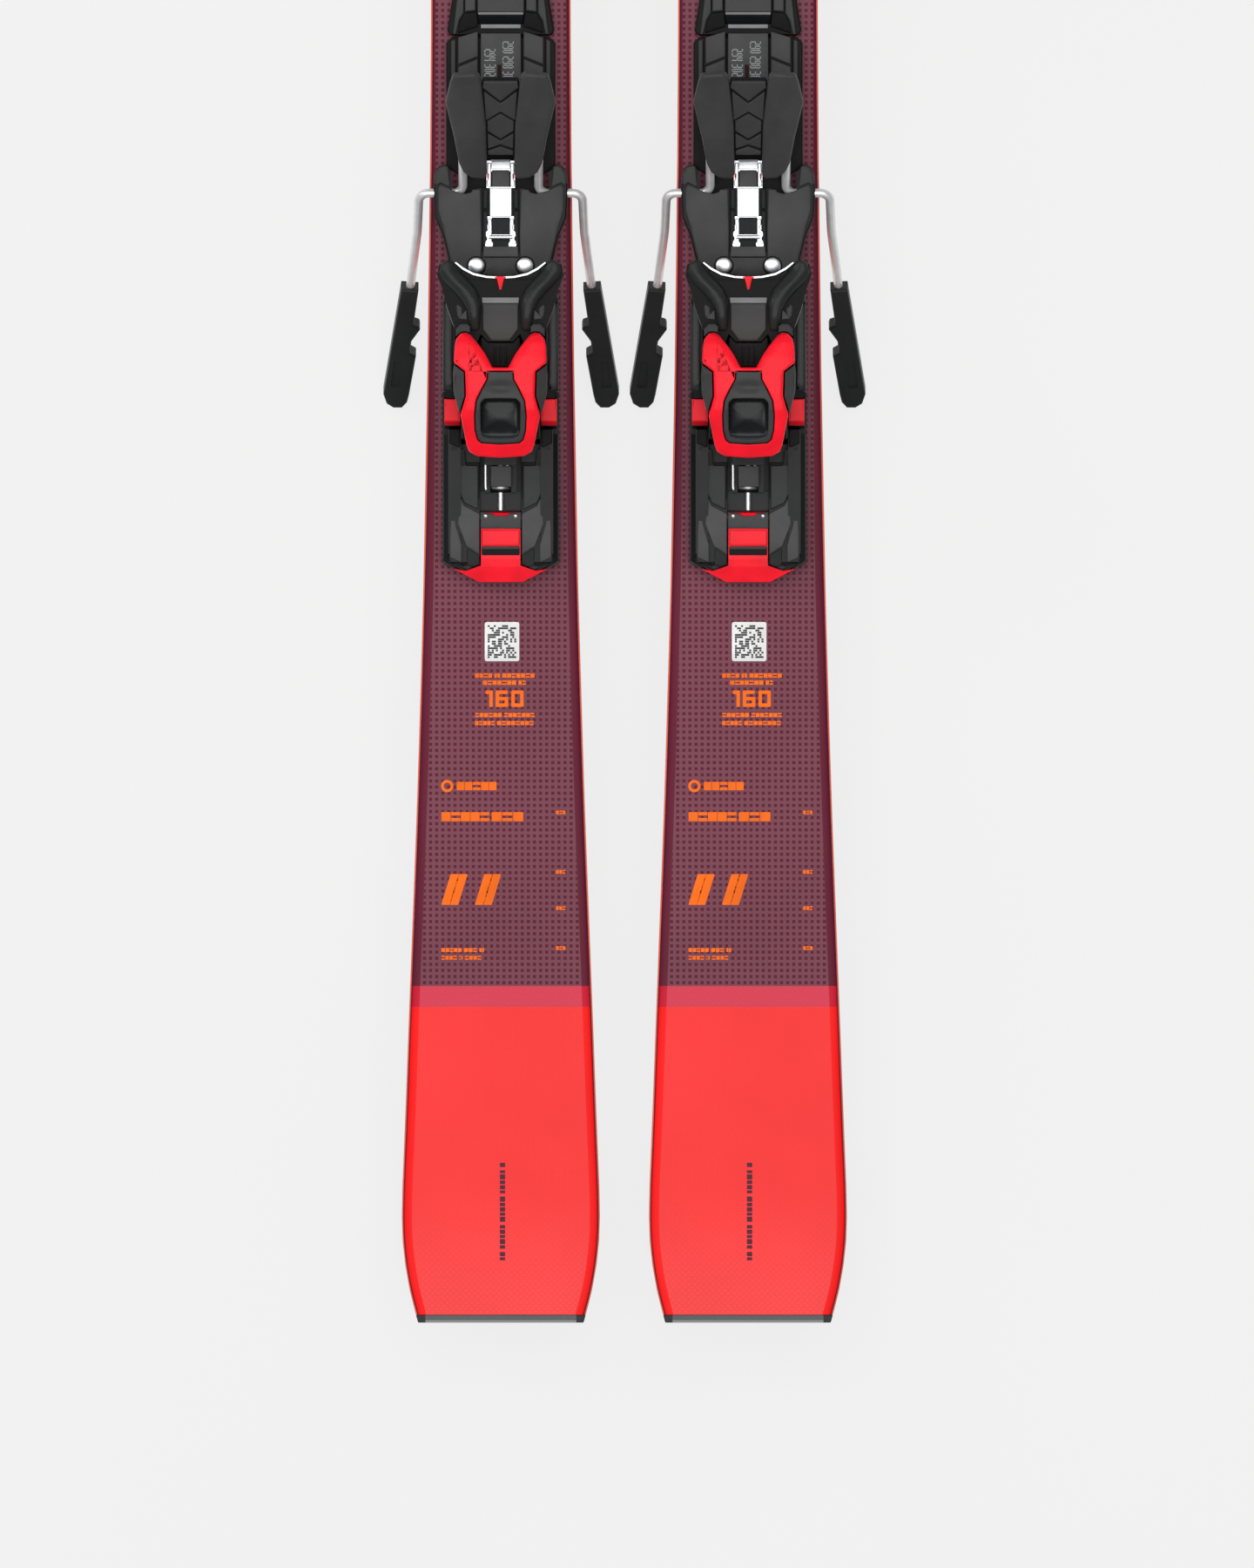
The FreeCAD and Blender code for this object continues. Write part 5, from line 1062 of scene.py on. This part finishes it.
# dark blocks filling the notches before the ears: painted shade
slots = [shell([flipped(soften([(21.4, -340.8), (27.2, -340.8), (27.2, -346.1), (21.4, -346.1)], 0.3, 2), s)], 32.0, 24.0, rnd=0.3, seg=2, cell=0) for s in (1, -1)]
place("axle_ear_slot_shade", join(slots), "deep", "heel_carriage", limit=30)
place("carriage_rod", tube([(-7.6, -378.6, 16.9), (-7.6, -390.4, 16.9), (-7.4, -391.6, 16.6)], 0.8, 14), "plate", "heel_carriage")
place("spring_cap", shell([soften([(-5.0, -379.9), (5.4, -379.9), (5.4, -390.3), (-5.0, -390.3)], 0.5, 3)], line_z([(-391.0, 20.2), (-379.0, 20.8)]), 19.9, rnd=0.4, seg=3, cell=0), "mid", "heel_carriage", limit=30)
place("lock_pivot_ends", join([dome(s * 7.5, -404.9, 16.7, 1.15, 0.9, 5, 18) for s in (1, -1)]), "plate", "size_lock", limit=60)
saddle = mirrored([(0, -404.8), (3.6, -404.8, 0.3), (4.4, -402.9, 0.4), (5.6, -403.6, 0.4), (10.3, -402.7, 0.4), (10.3, -411.2, 0.3), (0, -411.2)])
place("lock_saddle", shell([soften(saddle, 0.3, 3)], line_z([(-411.4, 16.3), (-408.0, 16.9), (-404.5, 17.1), (-402.7, 16.4)]), 14.8, rnd=0.4, seg=3, cell=1.6), "mid", "size_lock", limit=30)
tongue = mirrored([(0, -412.0), (9.4, -412.0, 0.3), (9.4, -419.8, 0.3), (0, -419.8)])
place("lock_pad", shell([soften(tongue, 0.3, 3)], line_z([(-420, 15.6), (-416, 16.1), (-412, 15.9)]), 14.0, rnd=0.4, seg=3, cell=1.6), "red", "size_lock", limit=30)
# a dark bar in the gap behind the pad: painted shade in the slot
slot_bar = mirrored([(0, -420.3), (9.5, -420.3), (9.5, -424.6), (0, -424.6)])
place("lock_gap", shell([soften(slot_bar, 0.3, 2)], line_z([(-425.4, 14.55), (-420.5, 14.95)]), 13.6, rnd=0.2, seg=1, cell=2.0), "deep", "size_lock", limit=30)
lip_bar = mirrored([(0, -420.2), (9.4, -420.2), (9.4, -421.6), (0, -421.6)])
place("lock_gap_lip", shell([soften(lip_bar, 0.2, 2)], 15.3, 14.4, rnd=0.2, seg=1, cell=0), "black", "size_lock", limit=30)

# ------------------------------------------------------------------ brake pedal, built flat and then dropped
lobe = [(9.7, 71.2), (10.6, 74.8, 0.8), (12.6, 76.5, 1.0), (23.4, 75.1, 1.4), (25.1, 70.4, 2.0), (27.6, 58.0, 3.0), (23.4, 37.7, 4.0), (20.9, 22.2, 3.0), (18.6, 16.8, 3.0), (14.4, 13.4, 2.5), (8.4, 12.5, 0.6), (6.9, 14.6, 0.4), (6.9, 26.4, 0.5), (7.2, 44.5, 3.0)]


def lobe_z(x, y):
    return 7.7 - 0.014 * (abs(x) - 15.0) ** 2 - 0.0006 * (y - 46.0) ** 2


place("pedal_pads", join([shell([flipped(soften(lobe, 1.5, 5), s)], lobe_z, 3.6, rnd=1.2, seg=4, cell=2.2) for s in (1, -1)]), "mid", "brake", at=brake_at, replaces=("brake_pedal",), limit=40)
spine = mirrored([(0, 72.2), (9.2, 72.2, 0.8), (9.6, 66.0), (7.4, 44.5), (6.8, 26.0, 0.5), (0, 26.0)])
place("pedal_spine", shell([soften(spine, 0.5, 3)], 4.5, 3.2, rnd=0.3, seg=2, cell=3.0), "dark", "brake", at=brake_at)
panels = [
    mirrored([(0, 71.0, 0.3), (8.5, 71.0, 0.6), (9.0, 67.4, 0.4), (0, 59.2, 0.8)]),
    mirrored([(0, 57.8, 0.8), (8.3, 64.9, 0.4), (7.4, 47.6, 0.4), (0, 53.0, 0.8)]),
    mirrored([(0, 51.6, 0.8), (6.6, 47.0, 0.5), (6.5, 41.4, 0.5), (0, 36.6, 0.8)]),
    mirrored([(0, 35.2, 0.8), (6.5, 39.6, 0.4), (6.3, 30.6, 0.4), (0, 33.2, 0.8)]),
    mirrored([(0, 31.8, 0.8), (6.3, 29.0, 0.4), (6.2, 27.0, 0.3), (0, 27.0, 0.3)]),
]
place("pedal_panels", join([shell([soften(p, 0.4, 3)], lambda x, y: 5.9 - 0.004 * x * x, 4.0, rnd=0.35, seg=3, cell=1.8) for p in panels]), "mid", "brake", at=brake_at, limit=30)
under = []
for s in (1, -1):
    under.append(shell([flipped([(22.6, 66.0), (24.6, 64.0), (25.4, 58.0), (23.4, 42.0), (21.8, 43.0), (22.8, 58.0)], s)], 4.0, -0.8, rnd=0.3, seg=1, cell=0))
    under.append(shell([flipped([(7.4, 49.0), (17.2, 49.0), (17.2, 51.4), (7.4, 51.4)], s)], 4.0, -1.0, rnd=0.3, seg=1, cell=0))
    under.append(shell([flipped([(4.6, 40.4), (11.6, 40.4), (11.6, 43.0), (4.6, 43.0)], s)], 4.0, -1.0, rnd=0.3, seg=1, cell=0))
place("pedal_hooks", join(under), "dark", "brake", at=brake_at)

# ------------------------------------------------------------------ heel track: blocks beside the size scale
blocks_a, strips = [], []
for s in (1, -1):
    blocks_a.append(shell([flipped(soften([(11.5, -161.6 + 0.0), (21.3, -164.6, 0.4), (21.3, -178.2, 0.3), (11.5, -174.2, 0.3)], 0.3, 3), s)], line_z([(-180, 9.2), (-161, 8.9)]), 5.4, rnd=0.4, seg=3, cell=3.0))
    blocks_a.append(shell([flipped(soften([(11.5, -175.4), (21.3, -179.4, 0.3), (21.3, -184.6, 0.6), (11.5, -184.6, 0.6)], 0.3, 3), s)], 9.0, 8.0, rnd=0.4, seg=3, cell=3.0))
    strips.append(shell([flipped(soften([(22.7, -165.4, 0.6), (24.9, -166.4, 0.6), (24.9, -206.0, 0.6), (22.7, -206.0, 0.6)], 0.4, 3), s)], 6.2, 4.6, rnd=0.4, seg=2, cell=0))
place("track_blocks", join(blocks_a), "mid", "ski", limit=30)
place("track_strips", join(strips), "black", "ski", limit=30)
place("scale_floor", shell([soften(mirrored([(0, -162.6), (10.0, -162.6), (10.3, -206.0), (0, -206.0)]), 0.4, 3), soften([(-1.6, -178.4), (-1.6, -206.6 + 1.4), (0.4, -206.6 + 1.4), (0.4, -178.4)], 0.3, 2)], 7.2, 5.6, rnd=0.25, seg=2, cell=0), "grey", "ski")
place("scale_slot", shell([bar(-1.9, 0.7, -205.8, -178.0, 0.4)], 6.5, 6.0, rnd=0.05, seg=1, cell=0), "slit", "ski")
SEG = {"0": "abcdef", "1": "bc", "2": "abged", "3": "abgcd", "5": "afgcd", "6": "afgedc", "7": "abc", "8": "abcdefg", "9": "abcdfg", "4": "fgbc"}


def digit(ch, x, y, w, h, t):
    """One figure on its side: its up is +X, its reading direction is -Y."""
    bars = {"a": (h - t, h, 0, w), "g": ((h - t) / 2, (h + t) / 2, 0, w), "d": (0, t, 0, w), "f": (h / 2, h, 0, t), "e": (0, h / 2, 0, t), "b": (h / 2, h, w - t, w), "c": (0, h / 2, w - t, w)}
    out = []
    for k in SEG[ch]:
        u0, u1, v0, v1 = bars[k]
        out.append(shell([bar(x + u0, x + u1, y - v1, y - v0, 0.08)], 7.34, 7.0, rnd=0.03, seg=1, cell=0))
    return out


ticks = []
for i, label in enumerate(("290", "298", "306", "314", "322")):
    for j, ch in enumerate(label):
        ticks += digit(ch, 0.9, -166.6 - i * 7.55 - j * 2.15, 1.7, 5.6, 0.5)
for i, label in enumerate(("294", "302", "310", "318")):
    for j, ch in enumerate(label):
        ticks += digit(ch, -8.2, -170.4 - i * 7.75 - j * 2.15, 1.7, 5.6, 0.5)
place("scale_marks", join(ticks), "print_grey", "ski")
# toe plate: ridge cap, side panels and the sloped rear faces; the pale edge strip is painted highlight, the dark slopes
# are painted shade
cap = mirrored([(0, -151.8), (11.6, -151.8, 0.4), (11.8, -64.0, 0.8), (0, -64.0)])
place("ridge_cap", shell([soften(cap, 0.4, 3)], 9.8, 8.6, rnd=0.4, seg=3, cell=0), "mid", "ski")
# painted highlight on the ridge's rear edge
place("ridge_edge", shell([soften(mirrored([(0, -152.0), (11.3, -152.0, 0.2), (11.3, -153.2, 0.2), (0, -153.2)]), 0.2, 2)], line_z([(-153.4, 8.9), (-151.9, 9.75)]), 8.0, rnd=0.15, seg=2, cell=0), "light", "ski")
# painted shade on the rear slope
place("ridge_slope", shell([soften(mirrored([(0, -153.3), (11.3, -153.3, 0.2), (10.8, -157.8, 0.2), (0, -157.8)]), 0.2, 2)], line_z([(-158, 5.9), (-153.2, 8.9)]), 4.6, rnd=0.2, seg=2, cell=2.0), "dark", "ski", limit=30)
place("ridge_step", shell([soften(mirrored([(0, -158.0), (10.0, -158.0, 0.3), (10.0, -160.0, 0.3), (0, -160.0)]), 0.3, 2)], 6.3, 4.6, rnd=0.3, seg=2, cell=0), "light", "ski")
wings, slopes, flanks = [], [], []
for s in (1, -1):
    wings.append(shell([flipped(soften([(12.7, -75.0), (17.4, -75.0, 1.0), (17.9, -151.6), (12.7, -151.2, 0.4)], 0.4, 4), s)], line_z([(-153, 8.3), (-75, 8.3)]), 4.6, rnd=0.5, seg=3, cell=8.0))
    flanks.append(shell([flipped(soften([(18.6, -75.0), (20.8, -75.0, 1.0), (21.4, -140.0, 3.0), (24.0, -163.0, 0.6), (22.6, -163.0, 0.6), (21.0, -156.0, 2.0), (18.6, -152.2, 0.6)], 0.4, 4), s)], line_z([(-163, 5.6), (-150, 6.8), (-75, 7.0)]), 4.6, rnd=0.4, seg=3, cell=8.0))
    # the sloped rear faces in the deepest black: painted shade
    slopes.append(shell([flipped(soften([(11.9, -152.0), (18.2, -152.6, 1.0), (20.6, -157.6, 1.0), (21.6, -162.6, 0.4), (11.4, -159.2, 0.4)], 0.5, 4), s)], line_z([(-163.2, 5.3), (-152, 8.0)]), 4.6, rnd=0.4, seg=3, cell=2.0))
place("toe_plate_panels", join(wings), "mid", "ski", limit=30)
place("toe_plate_flanks", join(flanks), "black", "ski", limit=30)
place("toe_plate_slopes", join(slopes), "deep", "ski", limit=30)

# ------------------------------------------------------------------ brake plate: raised panels and the channel
panels = []
for s in (1, -1):
    pl = [(10.2, -241.0), (14.0, -241.0, 0.4), (14.6, -242.4, 2.0), (17.8, -243.2, 2.0), (20.6, -242.6, 1.0), (24.6, -241.4, 1.0), (26.6, -240.0, 1.0), (30.4, -238.6, 1.2), (31.8, -240.6, 1.2), (31.6, -251.4, 2.0), (29.0, -259.6, 3.0), (27.0, -268.0, 2.0), (25.2, -275.5, 2.0), (24.8, -279.6), (17.6, -283.0), (9.8, -283.8), (9.6, -262.0)]
    panels.append(shell([flipped(soften(pl, 0.8, 4), s)], lambda x, y: 15.4 - 0.006 * max(0.0, abs(x) - 20.0) ** 2, 14.0, rnd=0.6, seg=3, cell=3.0))
place("brake_plate_panels", join(panels), "mid", "heel_carriage", limit=30)
lobes = []
for s in (1, -1):
    lb = [(25.2, -239.6, 0.6), (26.2, -230.0, 1.0), (27.4, -228.8, 1.0), (30.6, -229.8, 1.6), (33.0, -233.8, 1.5), (33.2, -237.8, 1.0), (31.9, -239.6, 0.5), (30.4, -237.8, 0.6), (26.0, -239.9, 0.5)]
    lobes.append(shell([flipped(soften(lb, 0.8, 4), s)], lambda x, y: 15.7 - 0.02 * (abs(x) - 28.6) ** 2, 14.0, rnd=0.7, seg=3, cell=1.8))
place("brake_plate_lobes", join(lobes), "black", "heel_carriage", limit=40)
place("channel_end", shell([soften(mirrored([(0, -269.6), (8.6, -269.6), (8.8, -274.8), (0, -274.8)]), 0.4, 2)], line_z([(-275, 15.4), (-269.5, 14.6)]), 9.9, rnd=0.3, seg=2, cell=0), "grey", "heel_carriage", limit=24)
place("channel_heel", shell([soften(mirrored([(0, -275.2), (9.4, -275.2), (9.2, -283.6), (0, -285.0)]), 0.4, 2)], 15.4, 13.8, rnd=0.4, seg=2, cell=0), "mid", "heel_carriage", limit=24)
grooves = [shell([flipped(soften([(6.7, -241.0), (8.6, -241.0), (8.9, -269.0), (6.7, -269.0)], 0.3, 2), s)], line_z([(-270, 12.6), (-252, 12.6), (-250.5, 13.6), (-240, 13.6)]), 10.2, rnd=0.3, seg=2, cell=2.0) for s in (1, -1)]
place("channel_walls", join(grooves), "dark", "heel_carriage", limit=24)
wells = [shell([[(s * 12.2 + 5.0 * math.cos(i / 36 * math.tau), -279.4 + 5.0 * math.sin(i / 36 * math.tau)) for i in range(36)]], 15.55, 13.8, rnd=0.2, seg=2, cell=0) for s in (1, -1)]
place("rivet_wells", join(wells), "deep", "heel_carriage", limit=40)
place("rivet_heads", join([dome(s * 12.2, -279.4, 15.6, 4.2, 1.2, 7, 36) for s in (1, -1)]), "plate", "heel_carriage", limit=60)
# steel link between the two halves of the binding
link = []
link.append(shell([soften([(-4.9, -226.0), (4.9, -226.0), (4.9, -230.6), (-4.9, -230.6)], 0.4, 3)], line_z([(-230.6, 13.0), (-226.0, 12.4)]), 10.5, rnd=0.4, seg=3, cell=2.0))
for s in (1, -1):
    link.append(shell([flipped(soften([(4.8, -227.6, 0.6), (7.0, -227.6, 0.8), (7.0, -232.8, 0.6), (6.3, -233.4, 0.4), (6.3, -235.8, 0.4), (7.0, -236.4, 0.4), (7.0, -239.4, 0.8), (5.6, -240.0, 0.6), (4.8, -239.4, 0.4)], 0.3, 3), s)], 13.6, 10.5, rnd=0.5, seg=3, cell=2.0))
    link.append(shell([flipped(soften([(4.6, -255.6, 0.5), (6.6, -255.6, 0.8), (6.6, -258.4, 0.6), (6.2, -259.2, 0.4), (6.2, -261.0, 0.4), (7.6, -262.2, 1.0), (7.8, -264.2, 1.0), (6.9, -265.8, 0.8), (7.9, -267.2, 0.8), (7.9, -268.8, 0.8), (4.9, -269.0, 0.8), (4.4, -266.8, 0.4), (4.4, -258.0, 0.4)], 0.3, 3), s)], 12.9, 10.5, rnd=0.5, seg=3, cell=2.0))
link.append(shell([soften([(-5.5, -240.5), (5.5, -240.5), (5.5, -254.6), (-5.5, -254.6)], 0.5, 3)], 13.9, 10.5, rnd=0.4, seg=3, cell=3.0))
link.append(tube([(-6.0, -265.0, 12.5), (6.0, -265.0, 12.5)], 1.05, 16))
place("length_link", join(link), "plate", "heel_carriage", limit=40)
pins_r = [shell([bar(s * 5.9 - 0.9, s * 5.9 + 0.9, -235.6, -233.0, 0.3)], 13.2, 11.0, rnd=0.2, seg=2, cell=0) for s in (1, -1)]
place("link_marks", join(pins_r), "red_dark", "heel_carriage", limit=40)
place("link_plate", shell([soften([(-4.4, -231.2), (4.4, -231.2), (4.4, -239.6), (-4.4, -239.6)], 0.4, 3)], 12.4, 10.5, rnd=0.3, seg=2, cell=0), "grey", "heel_carriage", limit=40)

# ------------------------------------------------------------------ toe piece details
crown = mirrored([(0, 15.0), (16.0, 15.0, 2.0), (20.5, 22.0, 4.0), (20.5, 44.0, 5.0), (14.0, 62.0, 4.0), (0, 64.0)])
place("toe_crown", shell([soften(crown, 2.0, 5)], line_z([(14, 59.4), (24, 61.2), (42, 61.4), (56, 58.6), (65, 54.8)]), 52.0, rnd=1.4, seg=4, cell=3.0), "red", "ski", limit=40)
window = mirrored([(0, 70.0), (6.0, 70.0, 1.0), (6.0, 80.0, 1.0), (0, 80.0)])
place("toe_scale_window", shell([soften(window, 0.8, 4)], line_z([(70, 51.2), (81, 45.0)]), 42.0, rnd=0.4, seg=2, cell=2.0), "white", "ski", limit=30)
marks = [shell([bar(-4.4 + 2.2 * i, -3.7 + 2.2 * i, 71.6, 78.4, 0.2)], line_z([(70, 51.35), (81, 45.15)]), 44.0, rnd=0.05, seg=1, cell=2.0) for i in range(5)]
place("toe_scale_marks", join(marks), "deep", "ski")

# ------------------------------------------------------------------ floor, light, camera
bpy.ops.mesh.primitive_plane_add(size=14, location=(0, -0.2, 0))
floor = bpy.context.object
floor.name = "studio_floor"
g = Graph("studio_floor_paint")
soft = g.noise(0.002, 2.0)
fcol = g.mix(g.scaled(soft, 0.3, 0.7, 0.0, 1.0), (0.085, 0.085, 0.085, 1), (0.095, 0.095, 0.095, 1))
g.set(color=fcol, rough=0.9, spec=0.05)
g.bsdf.inputs["Emission Color"].default_value = (1, 1, 1, 1)
g.bsdf.inputs["Emission Strength"].default_value = 0.80
floor.data.materials.append(g.m)

world = bpy.data.worlds.new("studio_world")
bpy.context.scene.world = world
world.use_nodes = True
world.node_tree.nodes["Background"].inputs[0].default_value = (1, 1, 1, 1)
world.node_tree.nodes["Background"].inputs[1].default_value = 0.30


def area(name, loc, aim, w, h, power):
    d = bpy.data.lights.new(name, "AREA")
    d.shape = "RECTANGLE"
    d.size, d.size_y, d.energy = w, h, power
    o = bpy.data.objects.new(name, d)
    bpy.context.scene.collection.objects.link(o)
    o.location = loc
    o.rotation_mode = "QUATERNION"
    o.rotation_quaternion = (Vector(aim) - Vector(loc)).to_track_quat("-Z", "Y")
    return o


area("overhead", (0.0, -0.3, 3.2), (0, -0.3, 0), 3.0, 3.6, 76)
area("side", (-2.2, 0.9, 1.9), (0, -0.3, 0), 1.2, 1.6, 20)

cam_data = bpy.data.cameras.new("camera")
cam_data.lens = 800
cam_data.sensor_width = 36
cam_data.clip_end = 100
cam = bpy.data.objects.new("camera", cam_data)
bpy.context.scene.collection.objects.link(cam)
cam.location = (0.0013, -0.5394, DECK["left"] + 17.5)
cam.rotation_mode = "QUATERNION"
cam.rotation_quaternion = Vector((0, 0, -1)).to_track_quat("-Z", "Y")
bpy.context.scene.camera = cam
bpy.context.scene.view_settings.view_transform = "Standard"
